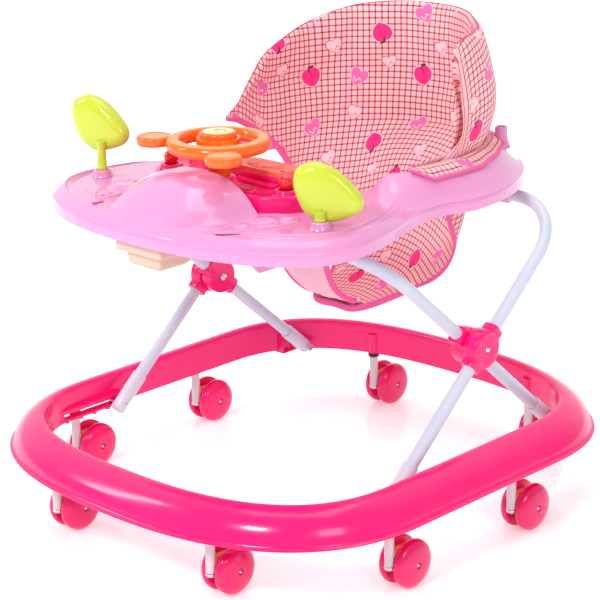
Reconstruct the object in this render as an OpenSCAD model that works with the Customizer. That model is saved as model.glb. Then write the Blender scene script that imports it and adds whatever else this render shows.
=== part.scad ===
// Baby walker with a scissor frame, a toy tray and a padded fabric seat.
// Axes: front of the walker faces -Y, the child's back faces +Y, +Z is up.
// Origin: centre of the base ring's outline on the floor. All sizes in mm.

/* [Base ring] */
// Half width of the opening inside the base ring
base_in_x = 247.5; // [200:0.5:300]
// Half length of the opening inside the base ring
base_in_y = 283; // [220:1:340]
// Width of the moulded band, from the inner wall to the flange edge
base_band = 45; // [35:1:80]
// Height of the band's crest above the floor
base_top_z = 117; // [100:1:140]
// Height of the flange edge above the floor
base_flange_z = 80; // [70:0.5:110]
// Wall thickness of the moulding
base_wall = 3; // [2:0.5:5]

/* [Casters] */
// Diameter of the twin caster discs
wheel_dia = 56; // [40:1:70]
// Width of one disc
disc_w = 15; // [8:0.5:18]
// Trail between the stem axis and the wheel axle
caster_trail = 26; // [15:1:35]
// Diameter of the caster stem where it sits in the ring
stem_dia = 8; // [6:0.5:12]
// Running clearance on a shaft, across the diameter
run_clear = 0.06; // [0.02:0.02:0.2]

/* [Scissor frame] */
// Height of the crossing pivots
hub_z = 220; // [180:1:260]
// Position of the crossing pivots along Y
hub_y = 60.5; // [0:0.5:120]
// Half length of each leg, from the crossing pivot to an end pivot
half_leg = 206; // [160:1:240]
// Leg angle above the floor as it stands
leg_angle = 41; // [30:1:55]
// Diameter of the steel tube
tube_dia = 15; // [12:0.5:20]
// Wall thickness of the steel tube
tube_wall = 1.2; // [0.8:0.1:2]
// Distance of the outer (rear) hoop's legs from the middle plane
hoop_x_out = 225.5; // [200:0.5:240]
// Distance of the inner (front) hoop's legs from the middle plane
hoop_x_in = 206.5; // [190:0.5:220]
// Bend radius of the hoops
hoop_bend = 72; // [50:1:90]

/* [Tray] */
// Height of the tray's lower rim
tray_z = 372; // [340:1:400]
// Half width of the front oval
tray_front_x = 224; // [190:1:260]
// Half width of the rear ring
tray_rear_x = 196; // [170:1:230]
// Half width at the waist
tray_waist_x = 184; // [160:1:210]
// Front end of the tray along Y
tray_front_y = -264; // [-300:1:-220]
// Rear end of the tray along Y
tray_rear_y = 312; // [270:1:340]
// Half width of the seat opening
hole_x = 148; // [120:1:165]
// Height of the collar around the seat opening
collar_z = 418; // [400:1:440]
// Wall thickness of the tray moulding
tray_wall = 3; // [2:0.5:4]

/* [Toys] */
// Outer radius of the toy steering wheel
steer_r = 59; // [45:1:75]
// Height of the steering wheel's mid plane
steer_z = 460; // [440:1:480]
// Diameter of the red push buttons
push_dia = 16; // [10:1:24]
// Travel of the push buttons
push_travel = 2.5; // [1:0.5:4]

/* [Seat] */
// Height of the backrest's top edge
back_top_z = 560; // [500:1:600]
// Height of the seat's lowest point
sling_z = 227; // [200:1:260]
// Thickness of the padded back
pad_t = 12; // [6:1:20]

/* [Hidden] */

$fn = 48;
pink = [1, 0.16, 0.5];
pale = [0.93, 0.65, 0.83];
steel = [0.82, 0.82, 0.86];
grey = [0.8, 0.82, 0.88];
white = [0.92, 0.9, 0.94];
lime = [0.76, 0.8, 0.24];
orange = [1, 0.5, 0.05];
red = [0.9, 0.02, 0.05];
cream = [0.88, 0.77, 0.7];
cloth = [1, 0.78, 0.82];

// ---- base ring outline: two superelliptic ends joined by straight sides
ring_n = 2.6;
ring_end = 168;
ring_cy = base_in_y - ring_end;
function sgn(v) = v < 0 ? -1 : 1;
function sup(a, b, n, t) =
  [a * sgn(cos(t)) * pow(abs(cos(t)), 2 / n), b * sgn(sin(t)) * pow(abs(sin(t)), 2 / n)];
function ring_pt(d, t) = sup(base_in_x + d, ring_end + d, ring_n - 0.15 * d / base_band, t)
  + [0, sin(t) >= 0 ? ring_cy : -ring_cy];
ring_t = [for (j = [0:71]) (j + 0.5) * 5];
function ring_wall(y) = abs(y) < ring_cy ? base_in_x
  : base_in_x * pow(1 - pow((abs(y) - ring_cy) / ring_end, ring_n), 1 / ring_n);

// ---- sweep of a closed section (distance outward, height) round the ring
ring_lo = base_flange_z - 3;
function ring_section() = let (b = base_band, t = base_top_z, f = base_flange_z) [
  [0, ring_lo], [0, t - 3], [2, t - 0.3], [5, t + 0.6], [11, t - 0.6], [19, t - 4.8],
  [27, t - 11], [34, t - 19], [39, t - 27.5], [41, t - 32], [42, t - 34.2], [b, f + 2], [b, f],
  [39, f], [36.4, t - 28.4], [31.6, t - 20.6], [25, t - 13.2], [18, t - 7.8], [11, t - 4],
  [5.6, t - 2.8], [base_wall, t - 4], [base_wall, ring_lo]];
function quads(m, n, wrap, flip) = [for (i = [0:m - (wrap ? 1 : 2)]) for (j = [0:n - 1])
  let (a = i * n + j, b = i * n + (j + 1) % n, c = ((i + 1) % m) * n + (j + 1) % n,
    e = ((i + 1) % m) * n + j) each flip ? [[a, b, e], [b, c, e]] : [[a, e, b], [b, e, c]]];
// closed ring of m sections with n points each
module sweep(pts, m, n, flip = false) {
  polyhedron(points = pts, faces = quads(m, n, true, flip), convexity = 8);
}
// open run of m sections with n points each, capped at both ends
module loft(pts, m, n, flip = false) {
  first = [for (j = [0:n - 1]) flip ? n - 1 - j : j];
  last = [for (j = [0:n - 1]) (m - 1) * n + (flip ? j : n - 1 - j)];
  polyhedron(points = pts, faces = concat(quads(m, n, false, flip), [first, last]), convexity = 6);
}
caster_xy = [[129, -281], [-129, -281], [262, -140], [-262, -140],
  [265, 69], [-265, 69], [131, 273], [-131, 273]];
wheel_r = wheel_dia / 2;
axle_z = wheel_r;
socket_top = 113;
pivot_y = hub_y + half_leg * cos(leg_angle);
slide_y = hub_y - half_leg * cos(leg_angle);
foot_z = hub_z - half_leg * sin(leg_angle);
head_z = hub_z + half_leg * sin(leg_angle);
pin_d = 6;
slide_run = 80;
slot_h = pin_d + 0.6;

module at_sides() {
  children();
  mirror([1, 0, 0]) children();
}
module xcyl(x0, x1, y, z, d) {
  translate([x0, y, z]) rotate([0, 90, 0]) cylinder(h = x1 - x0, d = d);
}
module box(x0, x1, y0, y1, z0, z1) {
  translate([x0, y0, z0]) cube([x1 - x0, y1 - y0, z1 - z0]);
}
module capsule(y0, y1, z, d, h) {
  linear_extrude(h) {
    translate([y0, -d / 2]) square([y1 - y0, d]);
    translate([y0, 0]) circle(d = d);
    translate([y1, 0]) circle(d = d);
  }
}
// a slot along Y, cut through in X
module xslot(x0, x1, y0, y1, z, d) {
  box(x0, x1, y0, y1, z - d / 2, z + d / 2);
  xcyl(x0, x1, y0, z, d);
  xcyl(x0, x1, y1, z, d);
}

module base_ring() {
  s = ring_section();
  m = len(ring_t);
  pts = [for (t = ring_t) for (q = s) let (p = ring_pt(q[0], t)) [p[0], p[1], q[1]]];
  color(pink) difference() {
    union() {
      sweep(pts, m, len(s));
      for (i = [0:7]) cpos(i) translate([0, 0, ring_lo])
        cylinder(h = socket_top - ring_lo - (i < 6 ? 2 : 0), d = stem_dia + 7);
      at_sides() {
        box(237.5, 249, -196, -76, foot_z - 9, foot_z + 8);
        box(221.5, 240, pivot_y - 24, pivot_y + 22, foot_z - 10, foot_z + 14);
      }
    }
    for (c = caster_xy) translate([c[0], c[1], ring_lo - 3])
      cylinder(h = 25, d = stem_dia + run_clear);
    at_sides() {
      xslot(230, 262, slide_y - slide_run, slide_y + 3, foot_z, slot_h);
      box(236, 244, -190, -168, foot_z - 12, foot_z - 5.5);
      box(236, 244, -164, -142, foot_z - 12, foot_z - 5.5);
      box(236, 244, -138, -116, foot_z - 12, foot_z - 5.5);
      box(236, 244, -112, -84, foot_z - 12, foot_z - 5.5);
      xcyl(215, 235, pivot_y, foot_z, pin_d + run_clear);
    }
  }
}
module pivot_pins() color(steel) at_sides() {
  xcyl(195.5, 235, pivot_y, foot_z, pin_d);
  xcyl(194, 195.5, pivot_y, foot_z, pin_d + 4);
}
module stem_caps() color([0.3, 0.08, 0.2]) for (c = caster_xy)
  translate([c[0], c[1], ring_lo - 5]) difference() {
    cylinder(h = 5, d = stem_dia + 6.4);
    translate([0, 0, -1]) cylinder(h = 7, d = stem_dia + 3.6);
  }

// ---- casters, in the stem's own frame
disc_in = 6;
disc_out = disc_in + disc_w;
module yoke() color([0.75, 0, 0.12]) difference() {
  union() {
    xcyl(-5.4, 5.4, caster_trail, axle_z, 38);
    box(-5.4, 5.4, 2, caster_trail, 36, 49);
  }
  xcyl(-6, 6, caster_trail, axle_z, 9 + run_clear);
  translate([0, 0, 20]) cylinder(h = 40, d = 11);
}
module caster_stem() color(white) {
  translate([0, 0, 26]) cylinder(h = ring_lo - 26.4, d = 11);
  translate([0, 0, ring_lo - 2]) cylinder(h = 22, d = stem_dia);
}
module caster_wheel() color(pink) translate([0, caster_trail, axle_z]) rotate([0, 90, 0]) {
  for (k = [0, 1]) mirror([0, 0, k]) rotate_extrude() polygon([[0, disc_in], [25, disc_in],
    [wheel_r, disc_in + 2.4], [wheel_r, disc_in + 7.5], [26.8, disc_in + 10.6],
    [22.5, disc_in + 12.8], [16, disc_in + 14.3], [5.5, disc_out], [5, disc_out - 2.4],
    [0, disc_out - 2.4]]);
  translate([0, 0, -disc_in]) cylinder(h = 2 * disc_in, d = 9);
}
module cpos(i) translate([caster_xy[i][0], caster_xy[i][1], 0]) children();

// ---- hoops: drawn flat in the leg plane, then leaned
module hoop_flat(x, r, d, past) {
  y1 = half_leg - r;
  for (s = [-1, 1]) translate([s * x, 0, 0]) rotate([-90, 0, 0])
    translate([0, 0, -half_leg + 10 - past]) cylinder(h = half_leg - 10 + past + y1, d = d);
  for (s = [-1, 1]) translate([s * (x - r), y1, 0]) rotate([0, 0, s > 0 ? 0 : 90])
    rotate_extrude(angle = 90) translate([r, 0]) circle(d = d);
  translate([-(x - r), half_leg, 0]) rotate([0, 90, 0]) cylinder(h = 2 * (x - r), d = d);
}
module lean_front() translate([0, hub_y, hub_z]) rotate([180 - leg_angle, 0, 0]) children();
module lean_rear() translate([0, hub_y, hub_z]) rotate([leg_angle, 0, 0]) children();

module front_hoop_tube() color(grey) lean_front() difference() {
  hoop_flat(hoop_x_in, hoop_bend, tube_dia, 0);
  hoop_flat(hoop_x_in, hoop_bend, tube_dia - 2 * tube_wall, 1);
  xcyl(-260, 260, 0, 0, 5);
}
module rear_hoop_tube() color(grey) lean_rear() difference() {
  hoop_flat(hoop_x_out, hoop_bend, tube_dia, 0);
  hoop_flat(hoop_x_out, hoop_bend, tube_dia - 2 * tube_wall, 1);
  xcyl(-260, 260, 0, 0, 5);
}
// plastic sleeve on a lower end: rounded for the pivot, square for the slide
module end_sleeve(x, round_end) difference() {
  union() {
    translate([x, -half_leg + 34, 0]) rotate([90, 0, 0]) cylinder(h = 24, d = 18.4);
    if (round_end) {
      translate([x, -half_leg + 10, 0]) rotate([90, 0, 0]) cylinder(h = 10, d = 18.4);
      translate([x, -half_leg, 0]) sphere(d = 18.4);
    } else
      translate([x, -half_leg + 10, 0]) rotate([90, 0, 0]) cylinder(h = 20, d = 18.4);
  }
  translate([x, -half_leg + 44, 0]) rotate([90, 0, 0]) cylinder(h = 34, d = tube_dia);
  xcyl(x - 20, x + 20, -half_leg, 0, pin_d + run_clear);
}
module front_hoop_ends() color(white) lean_front() for (s = [-1, 1])
  end_sleeve(s * hoop_x_in, true);
module rear_hoop_ends() color(white) lean_rear() {
  for (s = [-1, 1]) end_sleeve(s * hoop_x_out, false);
  at_sides() {
    xcyl(hoop_x_out - 10.7, 246, -half_leg, 0, pin_d);
    xcyl(hoop_x_out - 12.2, hoop_x_out - 10.7, -half_leg, 0, 9);
  }
}
// housing round the crossing: a drum on a half shell that grips the tube
module hub_shell(x0, x1, drum) difference() {
  union() {
    xcyl(x0, x1, 0, 0, drum);
    box(x0, x1, -29, 29, -11, 11);
  }
  translate([(x0 + x1) / 2, -40, 0]) rotate([-90, 0, 0]) cylinder(h = 80, d = tube_dia);
  xcyl(x0 - 1, x1 + 1, 0, 0, 5);
}
module front_hub_shells() color(pink) lean_front() at_sides()
  hub_shell(hoop_x_in - 9.35, hoop_x_in + 9.35, 42);
module rear_hub_shells() color(pink) lean_rear() at_sides() {
  hub_shell(hoop_x_out - 9.35, hoop_x_out + 9.35, 46);
}
module hub_rivets() color(steel) lean_rear() at_sides() {
  xcyl(hoop_x_in - 11, hoop_x_out + 9.35, 0, 0, 5 - run_clear);
  xcyl(hoop_x_out + 9.35, hoop_x_out + 11, 0, 0, 10);
  xcyl(hoop_x_in - 12.5, hoop_x_in - 11, 0, 0, 10);
}

// ---- tray outline, right half from the front centre to the rear centre
oval_cy = -149;
rear_cy = 90;
function wave(a, b, u) = a + (b - a) * (0.5 - 0.5 * cos(180 * u));
function front_pt(t) = sup(tray_front_x, oval_cy - tray_front_y, 2.2, t);
right_pts = concat(
  [for (i = [0:12]) let (p = front_pt(-88 + i * 88 / 13)) [p[0], oval_cy + p[1]]],
  [for (i = [0:9]) [wave(tray_front_x, tray_waist_x, i / 10), oval_cy + 18.4 * i]],
  [for (i = [0:2]) [wave(tray_waist_x, tray_rear_x, i / 3), 35 + 55 * i / 3]],
  [for (i = [0:13]) let (t = i * 88 / 13)
    [tray_rear_x * cos(t), rear_cy + (tray_rear_y - rear_cy) * sin(t)]]);
nr = len(right_pts);
tray_o = concat(right_pts,
  [for (i = [0:nr - 1]) let (p = right_pts[nr - 1 - i]) [-p[0], p[1]]]);
nt = len(tray_o);
function unit(v) = v / norm(v);
// seat opening: the point on it that faces p, moved outward by e
hole_cy = 85;
hole_front_y = -22;
hole_rear_y = 264;
function hole_pt(p, e) = let (a = atan2(p[1] - hole_cy, p[0]),
  b = p[1] < hole_cy ? hole_cy - hole_front_y : hole_rear_y - hole_cy,
  n = p[1] < hole_cy ? 2.6 : 2.05, c = abs(cos(a)) / (hole_x + e),
  s = abs(sin(a)) / (b + e), r = 1 / pow(pow(c, n) + pow(s, n), 1 / n))
  [r * cos(a), hole_cy + r * sin(a)];
function soft(u) = let (v = min(max(u, 0), 1)) v * v * (3 - 2 * v);
// height of the tray skin at d from the rim, w across the band there
function skin(d, w) = let (k = soft((w - 70) / 70),
  rear = 386 + (collar_z - 386) * pow(soft(d / (w - 3)), 0.85),
  front = 386 + 22 * soft(d / 24) - 10 * soft((d - 27) / 18)) rear * (1 - k) + front * k;
tray_d = [0, 1.2, 5, 11, 18, 25, 33, 45];
function tray_top(o, h) = let (w = norm(h - o), k = min(1, w / 66)) [for (j = [0:13])
  let (d = j < 8 ? tray_d[j] * k : tray_d[7] * k + (w - tray_d[7] * k) * (j - 7) / 6,
    q = o + (h - o) * d / w) [q[0], q[1], j == 0 ? tray_z : j == 1 ? tray_z + 13 : skin(d, w)]];
function tray_loop(o) = let (h = hole_pt(o, 0), u = unit(h - o), t = tray_top(o, h),
  w = tray_wall, e = t[13]) concat(t, [[e[0], e[1], e[2] - 22],
  [e[0] - w * u[0], e[1] - w * u[1], e[2] - 22], [e[0] - w * u[0], e[1] - w * u[1], e[2] - w]],
  [for (j = [12:-1:0]) let (p = t[j], g = j < 3 ? w : 0)
    [p[0] + g * u[0], p[1] + g * u[1], j == 0 ? tray_z : p[2] - w]]);
socket_xy = [109, 238];
mirror_xy = [175, -150];
clip_x = 128;
guide_x = 110;
module tray_shell() color(pale) difference() {
  union() {
    sweep([for (o = tray_o) each tray_loop(o)], nt, 30, true);
    at_sides() {
      translate([socket_xy[0], socket_xy[1], 402]) cylinder(h = 28, d = 15);
      translate([mirror_xy[0], mirror_xy[1], 393]) cylinder(h = 13, d = 20);
      xcyl(clip_x - 12, clip_x + 12, pivot_y, head_z, tube_dia + 8);
      box(clip_x - 12, clip_x + 12, pivot_y - 7, pivot_y + 7, head_z + 8, 396);
      box(guide_x - 2.5, guide_x + 2.5, slide_y - 92, slide_y + 20, head_z - 13, 396.4);
    }
  }
  at_sides() {
    translate([socket_xy[0], socket_xy[1], 408]) cylinder(h = 30, d = 10);
    translate([mirror_xy[0], mirror_xy[1], 380]) cylinder(h = 40, d = 12 + run_clear);
    xcyl(clip_x - 20, clip_x + 20, pivot_y, head_z, tube_dia + run_clear);
    xslot(guide_x - 5, guide_x + 5, slide_y - slide_run, slide_y, head_z, tube_dia + 0.6);
  }
}
// bonnet over the front of the deck
deck_z = 398.3;
hood_y = -154;
module tray_hood() {
  na = 24;
  cuts = [0, 8, 18, 28, 38, 47, 54, 59.5, 63, 65];
  pts = [for (c = cuts) let (k = sqrt(1 - pow(c / 66, 2))) for (j = [0:na])
    let (a = 180 * j / na) [98 * k * cos(a), hood_y - c, deck_z + 36 * k * sin(a)]];
  color(pale) loft(pts, len(cuts), na + 1);
}
panel_z = 415;
module panel_outline(g) polygon([[-120 + g, -62], [-106 + g, -32 - g], [-60, -26 - g],
  [60, -26 - g], [106 - g, -32 - g], [120 - g, -62], [112 - g, -116], [90 - g, -152 + g],
  [-90 + g, -152 + g], [-112 + g, -116]]);
push_xy = [92, -116];
module toy_panel() color(pink) difference() {
  union() {
    difference() {
      translate([0, 0, deck_z]) linear_extrude(panel_z - deck_z) panel_outline(0);
      translate([0, 0, deck_z - 1]) linear_extrude(panel_z - deck_z - 1.5) panel_outline(3);
    }
    translate([0, -128, deck_z]) cylinder(h = 25, d = 36);
    at_sides() translate([push_xy[0], push_xy[1], deck_z]) cylinder(h = 21.5, d = 26);
    translate([-22, -100, panel_z - 1]) cube([92, 44, 9]);
    translate([-98, -84, panel_z - 1]) cube([62, 40, 9]);
  }
  at_sides() translate([push_xy[0], push_xy[1], deck_z + 6]) cylinder(h = 20, d = push_dia + 0.2);
}
module speaker_grilles() color(pink) at_sides() translate([46, -131, panel_z]) rotate([0, 0, -20])
  capsule(-8, 8, 0, 18, 3);
module figure_plate() color([1, 0.55, 0.45]) difference() {
  translate([-19, -97, panel_z + 8]) linear_extrude(6) {
    translate([6, 0]) square([74, 38]);
    translate([0, 6]) square([86, 26]);
  }
  translate([60, -88, panel_z + 10]) cylinder(h = 10, d = 5);
}
col_xy = [0, -128];
module steering_column() color(orange) translate([col_xy[0], col_xy[1], deck_z + 25]) {
  cylinder(h = steer_z - deck_z - 34, d = 25);
  cylinder(h = steer_z - deck_z - 26, d = 10);
}
ear_a = [205, 320];
module steering_wheel() color(orange) translate([col_xy[0], col_xy[1], steer_z]) difference() {
  union() {
    rotate_extrude($fn = 72) polygon([[42, -4], [45, -8], [54, -8], [58, -5], [59, 0], [58, 5],
      [54, 7], [45, 7], [42, 5]]);
    for (a = ear_a) rotate([0, 0, a]) translate([77, 0, -7]) cylinder(h = 11, d = 42);
    rotate([0, 0, 160]) translate([-44, -8, -6]) cube([88, 16, 10]);
    translate([0, 0, -8.5]) cylinder(h = 15, d = 50);
  }
  translate([0, 0, 1.5]) cylinder(h = 10, d = 42.2);
  translate([0, 0, -9]) cylinder(h = 8.5, d = 10 + run_clear);
}
module horn_button() color(cream) translate([col_xy[0], col_xy[1], steer_z + 4.5])
  cylinder(h = 9.5, d = 42);
module push_button() color(red) translate([push_xy[0], push_xy[1], deck_z + 10]) {
  cylinder(h = 19.5, d = push_dia);
  translate([0, 0, 19.5]) sphere(d = push_dia);
}
module push_button_left() push_button();
module push_button_right() mirror([1, 0, 0]) push_button();
module music_box() color(cream) difference() {
  union() {
    box(-37, 37, -255, -196, 357, 384);
    box(-30, 30, -216, -198, 383, 394.6);
    box(-27, 27, -247, -197, 342, 358);
  }
  box(-34, 34, -252, -199, 360, 381);
  box(-24.5, 24.5, -244.5, -199.5, 340, 362);
}
module battery_door() color(cream) {
  box(-27, 27, -247, -197, 340, 342);
  box(-24, 24, -244, -200, 342, 344);
}
// leaf shaped mirror head on its stem, in the stem's own frame
module leaf(g) {
  polygon([for (a = [0:10:350]) let (k = 1 + 0.13 * pow(cos((a + 32) / 2), 8))
    [(38 * k - g) * cos(a), (33 - g) * sin(a)]]);
}
module mirror_head(turn) translate([mirror_xy[0], mirror_xy[1], 0]) rotate([0, 0, turn]) {
  translate([0, 0, 396]) cylinder(h = 26, d = 12);
  translate([0, 0, 406.3]) cylinder(h = 5, d = 17);
  translate([8, 11, 449]) rotate([90, 0, 0]) difference() {
    linear_extrude(22) leaf(0);
    translate([0, 0, -1]) linear_extrude(3) leaf(5);
  }
}
module mirror_glass(turn) translate([mirror_xy[0], mirror_xy[1], 0]) rotate([0, 0, turn])
  translate([8, 11, 449]) rotate([90, 0, 0]) translate([0, 0, 0.5]) linear_extrude(1.5) leaf(5.4);
turn_left = 36;
turn_right = -14;
module mirror_left() color(lime) mirror_head(turn_left);
module mirror_left_glass() color(steel) mirror_glass(turn_left);
module mirror_right() color(lime) mirror([1, 0, 0]) mirror_head(turn_right);
module mirror_right_glass() color(steel) mirror([1, 0, 0]) mirror_glass(turn_right);

// ---- seat
module hole_ring(e0, e1) difference() {
  polygon([for (o = tray_o) hole_pt(o, e1)]);
  polygon([for (o = tray_o) hole_pt(o, e0)]);
}
// YZ outline extruded along X
module across(x0, x1, P) translate([x0, 0, 0]) rotate([90, 0, 90])
  linear_extrude(x1 - x0) polygon(P);
module seat_back() color(cloth) intersection() {
  translate([0, 0, collar_z + 4]) linear_extrude(back_top_z - collar_z - 4)
    hole_ring(-pad_t + 3, 3);
  across(-170, 170, [[36, 410], [36, 446], [78, 500], [150, 538], [210, back_top_z - 2],
    [280, back_top_z], [280, 410]]);
}
module seat_sling() color(cloth) {
  across(-41, 41, [[-19, 396], [-11, 330], [20, 262], [56, sling_z], [118, sling_z],
    [170, 262], [166, 265], [116, sling_z + 4], [58, sling_z + 4], [23.5, 264],
    [-7, 331], [-15, 396]]);
  across(-92, 92, [[170, 262], [200, 330], [204.5, 366], [201, 367], [196, 331], [166, 265]]);
  across(-128, 128, [[200, 344], [203.8, 368], [200.3, 369], [196.5, 344]]);
  across(-112, 112, [[203.4, 364], [219, 388], [215.5, 390], [199.9, 366]]);
  at_sides() across(126, 130, [[24, 394], [24, 388], [62, 386], [100, 372], [140, 346],
    [164, 320], [199, 343], [202.5, 366], [202.5, 382], [160, 394]]);
}
module seat_hem() color([1, 0.55, 0.75]) intersection() {
  translate([0, 0, collar_z + 0.2]) linear_extrude(3.6) hole_ring(-7, 5);
  box(-170, 170, 36, 300, 400, 430);
}

module caster_1_yoke() cpos(0) yoke();
module caster_1_stem() cpos(0) caster_stem();
module caster_1_wheel() cpos(0) caster_wheel();
module caster_2_yoke() cpos(1) yoke();
module caster_2_stem() cpos(1) caster_stem();
module caster_2_wheel() cpos(1) caster_wheel();
module caster_3_yoke() cpos(2) yoke();
module caster_3_stem() cpos(2) caster_stem();
module caster_3_wheel() cpos(2) caster_wheel();
module caster_4_yoke() cpos(3) yoke();
module caster_4_stem() cpos(3) caster_stem();
module caster_4_wheel() cpos(3) caster_wheel();
module caster_5_yoke() cpos(4) yoke();
module caster_5_stem() cpos(4) caster_stem();
module caster_5_wheel() cpos(4) caster_wheel();
module caster_6_yoke() cpos(5) yoke();
module caster_6_stem() cpos(5) caster_stem();
module caster_6_wheel() cpos(5) caster_wheel();
module caster_7_yoke() cpos(6) yoke();
module caster_7_stem() cpos(6) caster_stem();
module caster_7_wheel() cpos(6) caster_wheel();
module caster_8_yoke() cpos(7) yoke();
module caster_8_stem() cpos(7) caster_stem();
module caster_8_wheel() cpos(7) caster_wheel();

base_ring();
pivot_pins();
stem_caps();
caster_1_yoke();
caster_1_stem();
caster_1_wheel();
caster_2_yoke();
caster_2_stem();
caster_2_wheel();
caster_3_yoke();
caster_3_stem();
caster_3_wheel();
caster_4_yoke();
caster_4_stem();
caster_4_wheel();
caster_5_yoke();
caster_5_stem();
caster_5_wheel();
caster_6_yoke();
caster_6_stem();
caster_6_wheel();
caster_7_yoke();
caster_7_stem();
caster_7_wheel();
caster_8_yoke();
caster_8_stem();
caster_8_wheel();
front_hoop_tube();
front_hoop_ends();
front_hub_shells();
rear_hoop_tube();
rear_hoop_ends();
rear_hub_shells();
hub_rivets();
tray_shell();
tray_hood();
toy_panel();
speaker_grilles();
figure_plate();
steering_column();
steering_wheel();
horn_button();
push_button_left();
push_button_right();
music_box();
battery_door();
mirror_left();
mirror_left_glass();
mirror_right();
mirror_right_glass();
seat_back();
seat_sling();
seat_hem();
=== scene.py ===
"""Baby walker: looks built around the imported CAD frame.

Lengths in the helpers are millimetres in the row frame.
"""
import bpy, bmesh, math
import numpy as np
from mathutils import Matrix, Vector, noise


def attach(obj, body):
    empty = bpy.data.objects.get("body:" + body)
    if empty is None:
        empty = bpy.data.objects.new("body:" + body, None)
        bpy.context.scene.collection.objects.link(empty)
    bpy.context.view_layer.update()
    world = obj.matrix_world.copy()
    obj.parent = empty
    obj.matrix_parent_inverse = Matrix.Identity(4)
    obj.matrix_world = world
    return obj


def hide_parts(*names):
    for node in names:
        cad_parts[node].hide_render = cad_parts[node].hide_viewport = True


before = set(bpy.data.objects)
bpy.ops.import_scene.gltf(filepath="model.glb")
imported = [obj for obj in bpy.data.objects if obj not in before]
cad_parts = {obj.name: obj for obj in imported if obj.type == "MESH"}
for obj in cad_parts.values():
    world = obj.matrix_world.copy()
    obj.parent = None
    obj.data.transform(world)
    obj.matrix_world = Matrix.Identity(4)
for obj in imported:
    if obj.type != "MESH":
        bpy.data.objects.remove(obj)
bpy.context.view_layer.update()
MM = 0.001

# ---------------------------------------------------------------- camera
AZ, EL, ROLL = math.radians(44.2), math.radians(17.8), math.radians(-1.0)
TARGET = Vector((31.5, -34.8, 260)) * MM
DISTANCE = 2.3669
back = Vector((math.sin(AZ) * math.cos(EL), -math.cos(AZ) * math.cos(EL), math.sin(EL)))
right0 = Vector((math.cos(AZ), math.sin(AZ), 0))
up0 = back.cross(right0)
right = right0 * math.cos(ROLL) + up0 * math.sin(ROLL)
up = up0 * math.cos(ROLL) - right0 * math.sin(ROLL)
cam_data = bpy.data.cameras.new("view")
cam_data.sensor_width = 36
cam_data.lens = 122.15
cam_data.clip_end = 50
cam = bpy.data.objects.new("view", cam_data)
bpy.context.scene.collection.objects.link(cam)
cam.matrix_world = Matrix.Translation(TARGET + back * DISTANCE) @ Matrix(
    (right, up, back)).transposed().to_4x4()
bpy.context.scene.camera = cam


# ---------------------------------------------------------------- materials
def srgb(r, g, b):
    """Linear colour of an 8-bit sRGB one."""
    f = lambda c: c / 12.92 if c <= 0.04045 else ((c + 0.055) / 1.055) ** 2.4
    return (f(r / 255), f(g / 255), f(b / 255), 1)


class Num:
    """A number inside a node tree, combined with plain arithmetic."""

    def __init__(self, tree, out):
        self.tree, self.out = tree, out

    def op(self, kind, *others, clamp=False):
        n = self.tree.nodes.new("ShaderNodeMath")
        n.operation, n.use_clamp = kind, clamp
        for i, v in enumerate((self,) + others):
            if isinstance(v, Num):
                self.tree.links.new(v.out, n.inputs[i])
            else:
                n.inputs[i].default_value = v
        return Num(self.tree, n.outputs[0])

    def __add__(self, o): return self.op("ADD", o)
    def __sub__(self, o): return self.op("SUBTRACT", o)
    def __mul__(self, o): return self.op("MULTIPLY", o)
    def __truediv__(self, o): return self.op("DIVIDE", o)
    def abs(self): return self.op("ABSOLUTE")
    def max(self, o): return self.op("MAXIMUM", o)
    def fract(self): return self.op("FRACT")
    def clamp(self): return self.op("ADD", 0.0, clamp=True)


class Mat:
    """A node material on one Principled shader, with helpers for varied colour and surface."""

    def __init__(self, name, rough=0.25, coat=0.0, metal=0.0, spec=0.5, sheen=0.0, subsurface=0.0):
        self.mat = bpy.data.materials.new(name)
        self.mat.use_nodes = True
        self.t = self.mat.node_tree
        self.sh = self.t.nodes["Principled BSDF"]
        s = self.sh.inputs
        s["Roughness"].default_value = rough
        s["Metallic"].default_value = metal
        s["Specular IOR Level"].default_value = spec
        if coat:
            s["Coat Weight"].default_value = coat
            s["Coat Roughness"].default_value = 0.06
        if sheen:
            s["Sheen Weight"].default_value = sheen
            s["Sheen Roughness"].default_value = 0.4
        if subsurface:
            s["Subsurface Weight"].default_value = subsurface
            s["Subsurface Radius"].default_value = (0.006, 0.003, 0.003)
            s["Subsurface Scale"].default_value = 1.0
        self.co = self.t.nodes.new("ShaderNodeTexCoord")

    def noise(self, scale, detail=3.0, coord="Object", stretch=None):
        n = self.t.nodes.new("ShaderNodeTexNoise")
        n.inputs["Scale"].default_value = scale
        n.inputs["Detail"].default_value = detail
        src = self.co.outputs[coord]
        if stretch:
            m = self.t.nodes.new("ShaderNodeMapping")
            m.inputs["Scale"].default_value = stretch
            self.t.links.new(src, m.inputs[0])
            src = m.outputs[0]
        self.t.links.new(src, n.inputs["Vector"])
        return Num(self.t, n.outputs["Fac"])

    def mix(self, fac, a, b):
        n = self.t.nodes.new("ShaderNodeMix")
        n.data_type = "RGBA"
        for sock, v in ((n.inputs[0], fac), (n.inputs[6], a), (n.inputs[7], b)):
            if isinstance(v, Num):
                self.t.links.new(v.out, sock)
            elif hasattr(v, "is_output"):
                self.t.links.new(v, sock)
            else:
                sock.default_value = v
        return n.outputs[2]

    def colour(self, v):
        if hasattr(v, "is_output"):
            self.t.links.new(v, self.sh.inputs["Base Color"])
        else:
            self.sh.inputs["Base Color"].default_value = v
        return self

    def rough(self, v):
        self.t.links.new(v.out, self.sh.inputs["Roughness"])
        return self

    def bump(self, height, strength, distance):
        b = self.t.nodes.new("ShaderNodeBump")
        b.inputs["Strength"].default_value = strength
        b.inputs["Distance"].default_value = distance
        self.t.links.new(height.out, b.inputs["Height"])
        self.t.links.new(b.outputs[0], self.sh.inputs["Normal"])
        return self


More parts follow.
